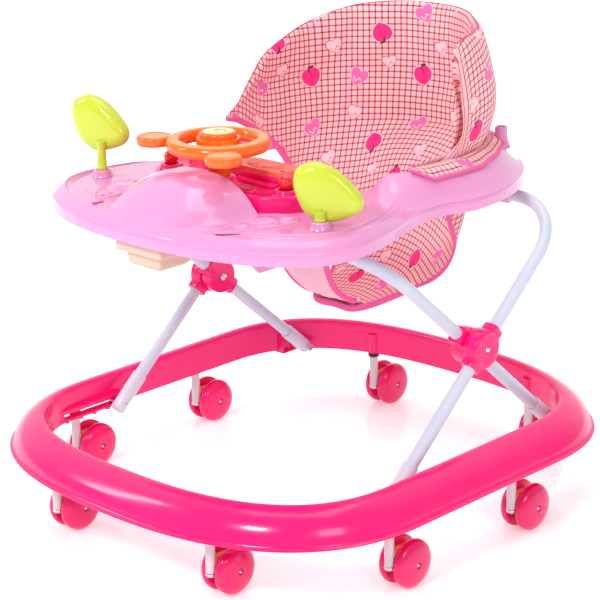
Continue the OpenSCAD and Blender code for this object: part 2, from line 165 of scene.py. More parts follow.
def plastic(name, rgb, rough=0.2, coat=0.5, spread=0.06, grain=0.12, sub=0.0):
    """Moulded plastic: slightly cloudy colour, faint flow marks and a fine orange-peel surface."""
    m = Mat(name, rough=rough, coat=coat, spec=0.4, subsurface=sub)
    dark = [c * (1 - spread) for c in rgb[:3]] + [1]
    light = [min(1, c * (1 + spread) + 0.01) for c in rgb[:3]] + [1]
    cloud = m.noise(9, 2)
    m.colour(m.mix(cloud, dark, light))
    m.rough(m.noise(35, 4) * 0.14 + (rough - 0.07))
    m.bump(m.noise(420, 2), grain, 0.0004)
    return m.mat


HOT = plastic("base_pink", srgb(248, 2, 116), 0.2, 0.2)
WHEEL = plastic("wheel_pink", srgb(240, 2, 106), 0.2, 0.25)
PALE = plastic("tray_pale", srgb(226, 146, 196), 0.15, 0.5, 0.03, 0.05)
SLEEVE = plastic("sleeve_white", srgb(210, 210, 226), 0.3, 0.3, 0.03)
STEM = plastic("stem_white", srgb(218, 208, 214), 0.3, 0.2, 0.04)
CAP = plastic("cap_dark", srgb(58, 18, 40), 0.5, 0.0, 0.1)
FORK = plastic("fork_red", srgb(206, 0, 24), 0.25, 0.3)
SALMON = plastic("salmon", srgb(250, 120, 96), 0.28, 0.2)
ORANGE = plastic("orange", srgb(250, 104, 0), 0.2, 0.3)
# lighter peach copy of the orange for the steering wheel's top faces: painted highlight
PEACH_HIGHLIGHT = plastic("orange_painted_highlight", srgb(255, 138, 46), 0.24, 0.3)
CREAM = plastic("cream", srgb(218, 184, 166), 0.35, 0.2)
DISC = plastic("cream_disc", srgb(250, 214, 150), 0.3, 0.3)
RED = plastic("button_red", srgb(236, 0, 10), 0.12, 0.8)
LIME = plastic("lime", srgb(196, 210, 50), 0.22, 0.5)


def tube_paint():
    m = Mat("tube_grey", rough=0.35, coat=0.25)
    m.colour(m.mix(m.noise(14, 3), srgb(196, 202, 220), srgb(210, 214, 230)))
    m.rough(m.noise(60, 3) * 0.12 + 0.28)
    m.bump(m.noise(700, 1), 0.1, 0.0003)
    return m.mat


def steel():
    m = Mat("rivet", rough=0.2, metal=1.0)
    m.colour(m.mix(m.noise(90, 4), srgb(190, 188, 192), srgb(232, 230, 234)))
    m.rough(m.noise(200, 4) * 0.25 + 0.08)
    m.bump(m.noise(300, 2), 0.2, 0.0003)
    return m.mat


def foil():
    m = Mat("mirror_foil", rough=0.08, metal=1.0)
    m.colour(m.mix(m.noise(20, 3), srgb(222, 224, 228), srgb(240, 242, 246)))
    m.bump(m.noise(16, 2), 0.25, 0.002)
    return m.mat


TUBE, STEEL, FOIL = tube_paint(), steel(), foil()


def spow(v, e):
    """A power that keeps its sign, for rounded-square outlines."""
    return np.sign(v) * np.abs(v) ** e


def circle(n):
    return np.linspace(0, 2 * math.pi, n, endpoint=False)


def obj_from(name, verts, faces, mat, body, angle=32, smooth=True, bevel=0, sub=0, merge=False):
    """A mesh object in the row frame from millimetre points, riding on a body."""
    me = bpy.data.meshes.new(name)
    me.from_pydata([tuple(float(c) * MM for c in v) for v in verts], [], faces)
    bm = bmesh.new()
    bm.from_mesh(me)
    if merge:
        bmesh.ops.remove_doubles(bm, verts=bm.verts, dist=1e-6)
    bmesh.ops.recalc_face_normals(bm, faces=bm.faces)
    limit = math.radians(angle)
    for f in bm.faces:
        f.smooth = smooth
    for e in bm.edges:
        if len(e.link_faces) == 2 and e.calc_face_angle(0) > limit:
            e.smooth = False
    bm.to_mesh(me)
    bm.free()
    o = bpy.data.objects.new(name, me)
    bpy.context.scene.collection.objects.link(o)
    me.materials.append(mat)
    if bevel:
        b = o.modifiers.new("bevel", "BEVEL")
        b.width, b.segments, b.limit_method, b.angle_limit = bevel * MM, 3, "ANGLE", limit
        b.harden_normals = True
    if sub:
        s = o.modifiers.new("sub", "SUBSURF")
        s.levels = s.render_levels = sub
    if body:
        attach(o, body)
    return o


def grid_faces(m, n, wrap_u, wrap_v):
    out = []
    for i in range(m if wrap_u else m - 1):
        for j in range(n if wrap_v else n - 1):
            i2, j2 = (i + 1) % m, (j + 1) % n
            out.append([i * n + j, i * n + j2, i2 * n + j2, i2 * n + j])
    return out


def grid(name, P, mat, body, wrap_u=False, wrap_v=False, caps=False, **k):
    """P[m][n] points. caps closes both ends of the u direction."""
    P = np.asarray(P, float)
    m, n = P.shape[:2]
    faces = grid_faces(m, n, wrap_u, wrap_v)
    if caps:
        faces += [list(range(n)), list(range((m - 1) * n, m * n))[::-1]]
    return obj_from(name, P.reshape(-1, 3), faces, mat, body, **k)


def lathe(name, prof, at, axis, mat, body, segs=72, **k):
    """Turned piece: prof is (radius, height) along the axis, from one pole or rim to the other."""
    a = circle(segs)
    P = []
    for r, h in prof:
        c, s = r * np.cos(a), r * np.sin(a)
        hh = np.full(segs, float(h))
        if axis == "z":
            q = np.stack([c, s, hh], 1)
        elif axis == "x":
            q = np.stack([hh, c, s], 1)
        else:
            q = np.stack([c, hh, s], 1)
        P.append(q + np.array(at))
    k.setdefault("merge", True)
    closed = prof[0] == prof[-1]
    return grid(name, P[:-1] if closed else P, mat, body, wrap_u=closed, wrap_v=True, **k)


def round_prof(pts, r, steps=4):
    """Rounds the inner corners of an open (radius, height) profile by up to r."""
    out = [pts[0]]
    for i in range(1, len(pts) - 1):
        a, b, c = (np.array(p, float) for p in pts[i - 1:i + 2])
        u, v = a - b, c - b
        lu, lv = np.linalg.norm(u), np.linalg.norm(v)
        t = min(r, lu * 0.45, lv * 0.45)
        p0, p1 = b + u / lu * t, b + v / lv * t
        for s in np.linspace(0, 1, steps + 1):
            out.append(tuple((1 - s) ** 2 * p0 + 2 * s * (1 - s) * b + s * s * p1))
    out.append(pts[-1])
    return out


def frames(path):
    """Points and a steady pair of cross directions along a path."""
    P = np.asarray(path, float)
    T = np.gradient(P, axis=0)
    T /= np.linalg.norm(T, axis=1)[:, None]
    ref = np.array([1.0, 0, 0]) if abs(T[0][0]) < 0.9 else np.array([0, 0, 1.0])
    N = ref - T[0] * (ref @ T[0])
    N /= np.linalg.norm(N)
    out = []
    for p, t in zip(P, T):
        N = N - t * (N @ t)
        N /= np.linalg.norm(N)
        out.append((p, N.copy(), np.cross(t, N)))
    return out


def pipe(name, path, r, mat, body, segs=28, closed=False, radii=None, **k):
    a = circle(segs)
    F = frames(path)
    P = [p + (radii[i] if radii is not None else r) * (np.outer(np.cos(a), n) + np.outer(np.sin(a), b))
         for i, (p, n, b) in enumerate(F)]
    return grid(name, P, mat, body, wrap_u=closed, wrap_v=True, caps=not closed, **k)


def catmull(pts, n, closed=False):
    """n points on a smooth curve through pts."""
    P = np.asarray(pts, float)
    m = len(P)
    t = np.linspace(0, m if closed else m - 1, n, endpoint=not closed)
    out = []
    for v in t:
        i = int(min(v, m - 1 if closed else m - 2))
        f = v - i
        g = (lambda j: P[j % m]) if closed else (lambda j: P[max(0, min(m - 1, j))])
        p0, p1, p2, p3 = g(i - 1), g(i), g(i + 1), g(i + 2)
        out.append(0.5 * (2 * p1 + (p2 - p0) * f + (2 * p0 - 5 * p1 + 4 * p2 - p3) * f ** 2
                          + (3 * p1 - p0 - 3 * p2 + p3) * f ** 3))
    return np.array(out)


def block(name, x, y, z, mat, body, bevel=1.0, taper=0):
    """Box with rounded edges; taper draws the lower face in on all sides."""
    t = taper
    v = [(x[0] + t, y[0] + t, z[0]), (x[1] - t, y[0] + t, z[0]), (x[1] - t, y[1] - t, z[0]),
         (x[0] + t, y[1] - t, z[0]),
         (x[0], y[0], z[1]), (x[1], y[0], z[1]), (x[1], y[1], z[1]), (x[0], y[1], z[1])]
    f = [[3, 2, 1, 0], [4, 5, 6, 7], [0, 1, 5, 4], [1, 2, 6, 5], [2, 3, 7, 6], [3, 0, 4, 7]]
    return obj_from(name, v, f, mat, body, bevel=bevel)


def plate(name, outline, z0, z1, mat, body, bevel=1.0, flip=None):
    """Flat piece from an outline of (x, y) points, with rounded rims."""
    n = len(outline)
    v = [(p[0], p[1], z0) for p in outline] + [(p[0], p[1], z1) for p in outline]
    f = [list(range(n))[::-1], list(range(n, 2 * n))]
    f += [[i, (i + 1) % n, n + (i + 1) % n, n + i] for i in range(n)]
    if flip is not None:
        v = [flip(p) for p in v]
    return obj_from(name, v, f, mat, body, bevel=bevel)


def cut(o, *cutters):
    """Takes the cutters out of o and removes them."""
    for c in cutters:
        m = o.modifiers.new("cut", "BOOLEAN")
        m.object, m.operation, m.solver = c, "DIFFERENCE", "EXACT"
        with bpy.context.temp_override(object=o, active_object=o, selected_objects=[o]):
            bpy.ops.object.modifier_apply(modifier=m.name)
        bpy.data.objects.remove(c)
    shade(o)
    return o


def shade(o, angle=32):
    bm = bmesh.new()
    bm.from_mesh(o.data)
    for f in bm.faces:
        f.smooth = True
    for e in bm.edges:
        e.smooth = not (len(e.link_faces) == 2 and e.calc_face_angle(0) > math.radians(angle))
    bm.to_mesh(o.data)
    bm.free()


def rot(axis, deg):
    return np.array(Matrix.Rotation(math.radians(deg), 3, axis))


SIDES = (("left", 1), ("right", -1))
PIVOT = (0, 215.97, 84.85)     # rear pivot axis in the base
CLIP = (0, 215.97, 355.15)     # rear clip axis under the tray
BUTTON_X, BUTTON_Y = 92, -116
MIRROR_X, MIRROR_Y = 175, -150
STEER_X, STEER_Y = 0, -128
SEAT_Y = 85                    # centre of the seat opening


# ---------------------------------------------------------------- base ring
IN_X, IN_Y, END_Y, RING_N = 247.5, 283.0, 168.0, 2.6
TOP, FLANGE = 117.0, 80.0


def ring_point(d, t):
    c, s = math.cos(t), math.sin(t)
    e = 2 / (RING_N - d / 300)
    x = (IN_X + d) * math.copysign(abs(c) ** e, c)
    y = (END_Y + d) * math.copysign(abs(s) ** e, s)
    return x, y + (IN_Y - END_Y) * (1 if s >= 0 else -1)


def ring_params(n):
    """Angles that put points evenly round the ring's outline."""
    t = np.linspace(0, 2 * math.pi, 4001)
    q = np.array([ring_point(28, v) for v in t])
    d = np.concatenate([[0], np.cumsum(np.linalg.norm(np.diff(q, axis=0), axis=1))])
    return np.interp(np.linspace(0, d[-1], n, endpoint=False) + d[-1] / n / 2, d, t)


def base_ring():
    sec = [(0, 77.0), (0, 79.5), (0, 96), (0, 111), (0.1, 113.4), (0.7, 115.4), (1.9, 116.8), (3.6, 117.5),
           (6, 117.6), (9, 117.1),
           (12, 116.2), (16, 114.5), (20, 112.4), (24, 109.7), (28, 106.4), (31.5, 102.7), (34.5, 98.6),
           (36.8, 94.4), (38.5, 90.4),
           (39.4, 87.4), (40, 85), (40.8, 83.4), (42.2, 82.5), (43.8, 82.1), (44.8, 81.6), (45, 80.9),
           (44.7, 80.3), (43.8, 80),
           (40, 80), (39, 80.4), (38.2, 83), (36.8, 88), (32, 96.2), (26.2, 103.4), (19, 109.2), (12, 113),
           (6.5, 114.2),
           (3.6, 113), (3, 111), (3, 79), (2.4, 77.2)]
    ts = ring_params(264)
    P = [[(*ring_point(d, t), z) for d, z in sec] for t in ts]
    ring = grid("ring_shell", P, HOT, "base", wrap_u=True, wrap_v=True, angle=50)
    cutters = []
    for _, s in SIDES:
        # windows above the rack and pockets behind the rear pivots
        for y0, y1 in ((-178, -92), (-222, -205)):
            cutters.append(block("w", sorted((s * 225, s * 262)), (y0, y1), (81.2, 88.6), HOT, None, bevel=0))
        cutters.append(block("p", sorted((s * 240, s * 249)), (188, 212), (78, 106), HOT, None, bevel=0))
    cut(ring, *cutters)
    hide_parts("base_ring")
    for name, s in SIDES:
        rail = block("rail_" + name, sorted((s * 238.2, s * 248.6)), (-196, -76), (76, 93), HOT, None, bevel=0)
        holes = [block("h", sorted((s * 230, s * 260)), (-176, -90), (81.5, 88.2), HOT, None, bevel=0)]
        for k in range(5):
            y = -190 + k * 22
            holes.append(block("h", sorted((s * 230, s * 242.6)), (y, y + 17), (70, 79.4), HOT, None, bevel=0))
        cut(rail, *holes)
        b = rail.modifiers.new("bevel", "BEVEL")
        b.width, b.segments, b.limit_method = 0.0007, 2, "ANGLE"
        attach(rail, "base")
        lip = block("rail_lip_" + name, sorted((s * 237.6, s * 239.2)), (-197, -75), (79.6, 81.4), HOT, "base",
                    bevel=0.6)
        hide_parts("base_ring")
        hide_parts("base_ring")
        # pivot bracket: two cheeks and a floor standing off the wall
        for k, (y0, y1) in enumerate(((192.4, 195.4), (234.6, 237.6))):
            block(f"bracket_cheek_{name}_{k}", sorted((s * 222, s * 247.6)), (y0, y1), (75.4, 99), HOT, "base",
                  bevel=0.8)
        block(f"bracket_floor_{name}", sorted((s * 222, s * 247.6)), (192.4, 237.6), (75, 77.4), HOT, "base",
              bevel=0.7)
        lathe(f"bracket_boss_{name}", [(3.1, s * 221.8), (7.5, s * 221.8), (8.2, s * 223), (9, s * 240),
                                       (3.1, s * 240)],
              PIVOT, "x", HOT, "base", segs=40)
    for i, (x, y) in enumerate(CASTERS, 1):
        top = 104
        lathe(f"socket_{i}", [(4.1, 77.2), (6.8, 77.2), (7.4, 78), (7.5, top), (4.1, top)], (x, y, 0), "z", HOT,
              "base", segs=40)


CASTERS = [(129, -281), (-129, -281), (262, -140), (-262, -140), (265, 69), (-265, 69), (131, 273), (-131, 273)]
TRAIL, AXLE_Z = 26.0, 28.0


def casters():
    disc = [(0, 17.9), (2.9, 17.9), (3.2, 18.3), (3.4, 20.2), (3.9, 20.8), (5.2, 20.9), (10, 20.5), (16, 19.8),
            (21, 18.4), (24.5, 16.6),
            (26.8, 14.4), (27.8, 12.2), (28, 10), (28, 8.8), (27.6, 7.4), (26.6, 6.5), (25, 6.1), (0, 6.1)]
    for i, (x, y) in enumerate(CASTERS, 1):
        hub = (x, y + TRAIL, AXLE_Z)
        wheel = None
        for name, s in SIDES:
            w = lathe(f"wheel_{i}_{name}", [(r, s * h) for r, h in disc], hub, "x", WHEEL, f"wheel_{i}",
                      segs=64, angle=40)
            rivet = lathe(f"wheel_rivet_{i}_{name}", [(0, s * 20.4), (1.2, s * 20.3), (2.1, s * 19.7),
                                                      (2.6, s * 18.8), (2.7, s * 18), (0, s * 17.9)],
                          hub, "x", STEEL, f"wheel_{i}", segs=24, angle=60)
            wheel = wheel or w
        lathe(f"axle_{i}", [(0, -17), (1.9, -17), (1.9, 17), (0, 17)], hub, "x", STEEL, f"wheel_{i}", segs=20)
        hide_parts(f"caster_{i}_wheel")
        # fork: round housing between the discs, with an arm and a cap round the stem
        core = lathe(f"fork_{i}", round_prof([(2.1, -5.3), (19, -5.3), (19, 5.3), (2.1, 5.3)], 1.2, 3), hub,
                     "x", FORK, f"caster_{i}", segs=56, angle=60)
        arm = []
        for yy, zz, hw, hh in ((2.6, 42.4, 4.6, 4.6), (3.4, 42.6, 5.3, 5.6), (8, 43.8, 5.4, 5.0),
                               (14, 45.2, 5.4, 3.6), (20, 46, 5.4, 2.8),
                               (26, 46.4, 5.2, 2.2), (33, 45, 4.6, 1.6), (36, 43.6, 4.2, 1.2)):
            a = circle(20)
            arm.append(np.stack([x + hw * spow(np.cos(a), 0.6), np.full(20, y + yy),
                                 zz + hh * spow(np.sin(a), 0.6)], 1))
        armo = grid(f"fork_arm_{i}", arm, SALMON, f"caster_{i}", wrap_v=True, caps=True, angle=50, sub=1)
        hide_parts(f"caster_{i}_yoke")
        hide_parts(f"caster_{i}_yoke")
        stem = lathe(f"stem_{i}", round_prof([(0, 26.2), (5.0, 26.2), (5.5, 30), (5.5, 74), (5.3, 76), (4, 76),
                                              (4, 97), (0, 97)], 0.8, 3), (x, y, 0), "z", STEM, f"caster_{i}",
                                              segs=36, angle=50)
        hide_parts(f"caster_{i}_stem")
        lathe(f"stem_foot_{i}", [(5.4, 28), (6.0, 28.4), (6.1, 30.4), (5.4, 31)], (x, y, 0), "z", STEEL,
              f"caster_{i}", segs=32)
        cap = lathe(f"cap_{i}", [(5.8, 72.2), (6.8, 72.2), (7.4, 72.9), (7.4, 76.8), (5.8, 76.9), (5.8, 72.2)],
                    (x, y, 0), "z", CAP, "base", segs=36)
        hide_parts("stem_caps")


# ---------------------------------------------------------------- scissor frame
HUB_Y, HUB_Z, HALF, LEG = 60.5, 220.0, 206.0, math.radians(41)
X_OUT, X_IN, BEND = 225.5, 206.5, 72.0


def lean(front):
    """Takes points of the flat leg plane (x, along, off) to the row frame."""
    a = math.pi - LEG if front else LEG
    c, s = math.cos(a), math.sin(a)
    return lambda p: (p[0], HUB_Y + p[1] * c - p[2] * s, HUB_Z + p[1] * s + p[2] * c)


def lathe_on(name, prof, x, along, axis, front, mat, body, **k):
    """Turned piece in a leg plane: axis 'x' across the frame, or 'a' along the leg."""
    o = lathe(name, prof, (x, along, 0), "x" if axis == "x" else "y", mat, None, **k)
    f = lean(front)
    for v in o.data.vertices:
        v.co = Vector(f([c / MM for c in v.co])) * MM
    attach(o, body)
    return o


def hoop(front):
    body, x = ("front_hoop", X_IN) if front else ("rear_hoop", X_OUT)
    f = lean(front)
    path = [(-x, s, 0) for s in np.linspace(-HALF + 10, HALF - BEND, 24)]
    path += [(-(x - BEND) - BEND * math.cos(a), HALF - BEND + BEND * math.sin(a),
              0) for a in np.linspace(0, math.pi / 2, 16)[1:]]
    path += [(v, HALF, 0) for v in np.linspace(-(x - BEND), x - BEND, 12)[1:-1]]
    path += [((x - BEND) + BEND * math.sin(a), HALF - BEND + BEND * math.cos(a),
              0) for a in np.linspace(0, math.pi / 2, 16)[:-1]]
    path += [(x, s, 0) for s in np.linspace(HALF - BEND, -HALF + 10, 24)]
    tube = pipe(body + "_pipe", [f(p) for p in path], 7.5, TUBE, body, segs=36)
    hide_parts(body + "_tube")
    for name, s in SIDES:
        c = s * x
        # sleeve on the lower end
        if front:
            prof = [(7.55, -162), (8.8, -162), (9.2, -162.8), (9.2, -206)] + [
                (9.2 * math.cos(a), -206 - 9.2 * math.sin(a)) for a in np.linspace(0.1, math.pi / 2, 9)]
            prof[-1] = (0, -215.2)
        else:
            prof = [(7.55, -162), (8.8, -162), (9.2, -162.8), (9.2, -214.6), (8.4, -216), (7.6, -216),
                    (7.2, -215.4), (0, -215.2)]
        sl = lathe_on(f"{body}_sleeve_{name}", prof, c, 0, "a", front, SLEEVE, body, segs=44, angle=50)
        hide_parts(body + "_ends")
        for k, e in enumerate((-1, 1)):
            lathe_on(f"{body}_foot_rivet_{name}_{k}", [(0, e * 10.3), (1.3, e * 10.2), (2.4, e * 9.8),
                                                       (3.1, e * 9.0), (3.1, e * 7.4), (0, e * 7.4)], c, -206,
                                                       "x", front, STEEL, body, segs=28, angle=60)
        if not front:
            lathe_on(f"slide_pin_{name}", [(0, s * 8), (3, s * 8), (3, s * 20), (2.6, s * 20.5), (0, s * 20.5)],
                     c, -206, "x", front, STEEL, body, segs=28)
        hub(front, name, s, c, body)


def hub(front, name, s, c, body):
    """Housing round the crossing: a drum with ringed cap over two half shells that grip the tube."""
    if front:
        prof = [(0, -9.35), (17, -9.35), (19.6, -9.2), (20.8, -8.2), (21, -7), (21, 8.4), (20.6, 9.2),
                (0, 9.35)]
        prof = [(r, -s * h) for r, h in prof]
    else:
        prof = [(0, 7.4), (3.6, 7.4), (4.0, 7.9), (4.4, 9.0), (9.0, 9.1), (9.4, 8.7), (10.2, 8.7), (10.6, 9.15),
                (14.6, 9.3), (15.0, 8.9), (15.8, 8.9), (16.2, 9.35),
                (19.6, 9.2), (21.6, 8.6), (22.7, 7.4), (23, 5.6), (23, -8.2), (22.4, -9.2), (0, -9.35)]
        prof = [(r, s * h) for r, h in prof]
    d = lathe_on(f"{body}_drum_{name}", prof, c, 0, "x", front, HOT, body, segs=80, angle=44)
    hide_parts(body[:-5] + "_hub_shells")
    f = lean(front)
    # collar that runs out along the tube on both sides of the drum
    for k, e in enumerate((-1, 1)):
        rows = []
        for al, w, h in ((10, 9.3, 11), (24, 9.3, 11), (28, 9.2, 10.8), (29, 8.8, 10.2), (29.1, 7.6, 8.6)):
            a = circle(32)
            q = np.stack([c + w * spow(np.cos(a), 0.45), np.full(32, e * al), h * spow(np.sin(a), 0.45)], 1)
            rows.append([f(p) for p in q])
        g = grid(f"{body}_grip_{name}_{k}", rows, HOT, body, wrap_v=True, caps=True, angle=40)
        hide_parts(body[:-5] + "_hub_shells")
    if not front:
        r = lathe_on(f"hub_rivet_{name}", [(0, s * 10.6), (1.6, s * 10.5), (3.0, s * 10.0), (3.6, s * 9.0),
                                           (3.7, s * 7.3), (0, s * 7.3)], c, 0, "x", front, STEEL, body,
                                           segs=32, angle=60)
        r2 = lathe_on(f"hub_rivet_in_{name}", [(0, -s * 12.3), (2, -s * 12.2), (4, -s * 11.6), (5, -s * 10.4),
                                               (5, -s * 9.6), (0, -s * 9.6)], s * X_IN, 0, "x", front, STEEL,
                                               body, segs=32, angle=60)
        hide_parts("hub_rivets")
        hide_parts("hub_rivets")


base_ring()
casters()
hoop(True)
hoop(False)
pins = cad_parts["pivot_pins"].data.materials
pins.clear()
pins.append(STEEL)


# ---------------------------------------------------------------- tray
TRAY_Z, DECK_Z, COLLAR_Z = 372.0, 398.3, 418.0


def smooth(u):
    u = np.clip(u, 0, 1)
    return u * u * (3 - 2 * u)


def tray_outline():
    """Right half from the front centre to the rear centre, then mirrored; evenly spaced."""
    pts = []
    for t in np.radians(np.linspace(-90, 0, 60)[:-1]):
        c, s = math.cos(t), -math.sin(t)
        pts.append((224 * max(c, 0) ** (2 / 2.2), -149 - 115 * s ** (2 / 2.2)))
    for u in np.linspace(0, 1, 30)[:-1]:
        pts.append((224 - 40 * (0.5 - 0.5 * math.cos(math.pi * u)), -149 + 184 * u))
    for u in np.linspace(0, 1, 12)[:-1]:
        pts.append((184 + 12 * (0.5 - 0.5 * math.cos(math.pi * u)), 35 + 55 * u))
    for t in np.radians(np.linspace(0, 90, 60)):
        pts.append((196 * math.cos(t), 90 + 222 * math.sin(t)))
    P = np.array(pts)
    P = np.concatenate([P, (P * [-1, 1])[::-1][1:-1]])
    Q = np.concatenate([P, P[:1]])
    d = np.concatenate([[0], np.cumsum(np.linalg.norm(np.diff(Q, axis=0), axis=1))])
    s = np.linspace(0, d[-1], 361)[:-1]
    return np.stack([np.interp(s, d, Q[:, 0]), np.interp(s, d, Q[:, 1])], 1)


TRAY_O = tray_outline()


def hole_at(a, e=0.0):
    """Edge of the seat opening at plan angle a about (0, 85), moved out by e."""
    low = math.sin(a) < 0
    b, n = (107.0, 2.6) if low else (179.0, 2.05)
    r = ((abs(math.cos(a)) / (148 + e)) ** n + (abs(math.sin(a)) / (b + e)) ** n) ** (-1 / n)
    return np.array([r * math.cos(a), SEAT_Y + r * math.sin(a)])


def skin(d, w):
    """Height of the tray's top skin at d from the rim where the band is w across."""
    k = float(smooth((w - 70) / 70))
    rear = 386 + 32 * float(smooth(d / (w - 3))) ** 0.85
    # band, small ledge, convex slope, crisp ridge, recess, then a second low step to the deck
    f = 385.2 + 9.6 * (1 - (1 - min(max((d - 2) / 13, 0), 1)) ** 1.6)
    f += 1.3 * math.exp(-((d - 15.4) / 1.5) ** 2)
    f -= 2.6 * float(smooth((d - 16.4) / 3)) - 2.0 * float(smooth((d - 22) / 9)) - 3.0 * float(smooth((d - 34) / 4))
    return rear * (1 - k) + f * k


def radial(a):
    """Radii of the tray rim and of the seat opening at plan angle a about (0, 85)."""
    ang = np.arctan2(TRAY_O[:, 1] - SEAT_Y, TRAY_O[:, 0])
    rad = np.hypot(TRAY_O[:, 0], TRAY_O[:, 1] - SEAT_Y)
    k = np.argsort(ang)
    ro = float(np.interp(a, ang[k], rad[k], period=2 * math.pi))
    return ro, float(np.linalg.norm(hole_at(a) - [0, SEAT_Y]))


def deck(x, y):
    """Height of the tray skin at a point, read along the plan ray from (0, 85)."""
    a, r = math.atan2(y - SEAT_Y, x), math.hypot(x, y - SEAT_Y)
    ro, rh = radial(a)
    return skin(min(max(ro - r, 0), ro - rh), ro - rh)


def tray():
    near = [0.0, 0.2, 0.5, 1.0, 1.4, 2.2, 3.2, 4.5, 6, 8, 10, 11.8, 13.2, 14.2, 15, 15.7, 16.4, 17.1, 17.8,
            18.6, 19.6, 21, 23, 26, 29, 32, 33.6, 34.6, 35.5, 36.4, 37.3, 38.4, 41, 47, 60]
    side = [372.4, 374, 380, 384.0, 385.0, 385.3]
    P = []
    for o in TRAY_O:
        h = hole_at(math.atan2(o[1] - SEAT_Y, o[0]))
        w = float(np.linalg.norm(h - o))
        u = (h - o) / w
        k = min(1, (w - 6) / 62)
        col = []
        for j, d in enumerate(near):
            dd = d * (1 if j < 6 else k)
            z = side[j] if j < 6 else skin(dd, w)
            col.append((*(o + u * dd), z))
        d0 = 60 * k
        inner = []
        for f in np.linspace(0, 1, 15)[1:]:
            d = d0 + (w - d0) * f
            z = skin(min(d, w), w)
            inner.append((*(o + u * d), z))
        # rolled lip into the opening
        e = inner[-1]
        inner[-1] = (e[0] - u[0] * 1.6, e[1] - u[1] * 1.6, e[2] - 0.1)
        lip = [(*(o + u * (w + a)), e[2] + b) for a, b in ((-0.8, -0.3), (-0.2, -0.9), (0, -1.8), (0, -12),
                (0, -21), (-0.6, -22), (-2.6, -22), (-3, -21), (-3, -4))]
        back_ = [(*(o + u * (d0 + (w - d0) * f)), skin(d0 + (w - d0) * f, w) - 3) for f in (0.85, 0.6, 0.3, 0)]
        back_ += [(*(o + u * (d * k + 1.5)), skin(d * k, w) - 3) for d in (40, 30, 23, 15, 8, 4)]
        back_ += [(*(o + u * 3), 383), (*(o + u * 3), 373), (*(o + u * 2.2), 372), (*(o + u * 0.7), 372)]
        P.append(col + inner + lip + back_)
    t = grid("tray_shell_body", P, PALE, "tray", wrap_u=True, wrap_v=True, angle=46)
    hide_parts("tray_shell")
    for name, s in SIDES:
        # round sockets for the seat back
        lathe(f"tray_socket_{name}", [(5.1, 402.5), (5.1, 428.8), (5.5, 429.8), (6.4, 430), (7.1, 429.6),
                                      (7.5, 428.6), (7.7, 421), (8.6, 413), (10.5, 408), (12, 404)],
              (s * 109, 238, 0), "z", PALE, "tray", segs=44, angle=50)
        lathe(f"mirror_boss_{name}", [(6.4, 397), (6.4, 404.8), (6.9, 405.6), (8.6, 405.9), (9.6, 405.3),
                                      (10, 404), (10.4, 401), (12.4, 397.4)],
              (s * MIRROR_X, MIRROR_Y, 0), "z", PALE, "tray", segs=40, angle=50)
        # guide slot plates and rear clips under the tray
        g = plate(f"guide_plate_{name}", [(-187, 396), (-187, 350), (-179, 342), (-83, 342), (-75, 350),
                                          (-75, 396)], s * 107.6, s * 112.4, PALE, "tray",
                  bevel=0.8, flip=lambda p: (p[2], p[0], p[1]))
        slot_y = [(-171 - 8 * math.sin(a),
                   355 + 8 * math.cos(a)) for a in np.linspace(0, math.pi, 13)] + [(-95 + 8 * math.sin(a),
                           355 - 8 * math.cos(a)) for a in np.linspace(0, math.pi, 13)]
        c = plate("c", slot_y, s * 100, s * 120, PALE, None, bevel=0, flip=lambda p: (p[2], p[0], p[1]))
        cut(g, c)
        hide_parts("tray_shell")
        lathe(f"rear_clip_{name}", round_prof([(7.8, s * 116.2), (11.4, s * 116.2), (11.4, s * 139.8),
                                               (7.8, s * 139.8)], 1, 3), CLIP, "x", PALE, "tray", segs=40)
        block(f"rear_clip_post_{name}", sorted((s * 118, s * 138)), (211, 221), (365.5, 392), PALE, "tray",
              bevel=1.5)
        # embossed crescent with three raised buttons
        crescent = catmull([(s * 98, -228), (s * 93, -204), (s * 91, -174), (s * 95, -147), (s * 112, -136),
                            (s * 132, -138), (s * 141, -152), (s * 135, -182), (s * 120, -210)], 60,
                            closed=True)
        if s < 0:
            crescent = crescent[::-1]
        n = len(crescent)
        cc = crescent.mean(axis=0)
        rows = []
        for f, dz in ((1.05, -0.8), (1.0, 0.5), (0.985, 1.5), (0.96, 2.0), (0.93, 1.9), (0.9, 1.2), (0.8, 1.0),
                      (0.5, 1.0), (0.2, 1.0), (0.01, 1.0)):
            rows.append([(*(cc + (q - cc) * f), max(deck(*(cc + (q - cc) * f)), 396) + dz) for q in crescent])
        grid(f"tray_crescent_{name}", rows, PALE, "tray", wrap_v=True, angle=60)
        for k, (x, y, r) in enumerate(((112, -170, 15), (110, -202, 8), (126, -150, 8))):
            z = deck(s * x, y) + 1.2
            lathe(f"tray_dot_{name}_{k}", [(r + 1.5, z - 0.4), (r + 0.6, z + 0.5), (r - 0.6, z + 2),
                                           (r - 2.5, z + 2.8), (r * 0.5, z + 3.3), (0, z + 3.5)],
                  (s * x, y, 0), "z", PALE, "tray", segs=44, angle=60)


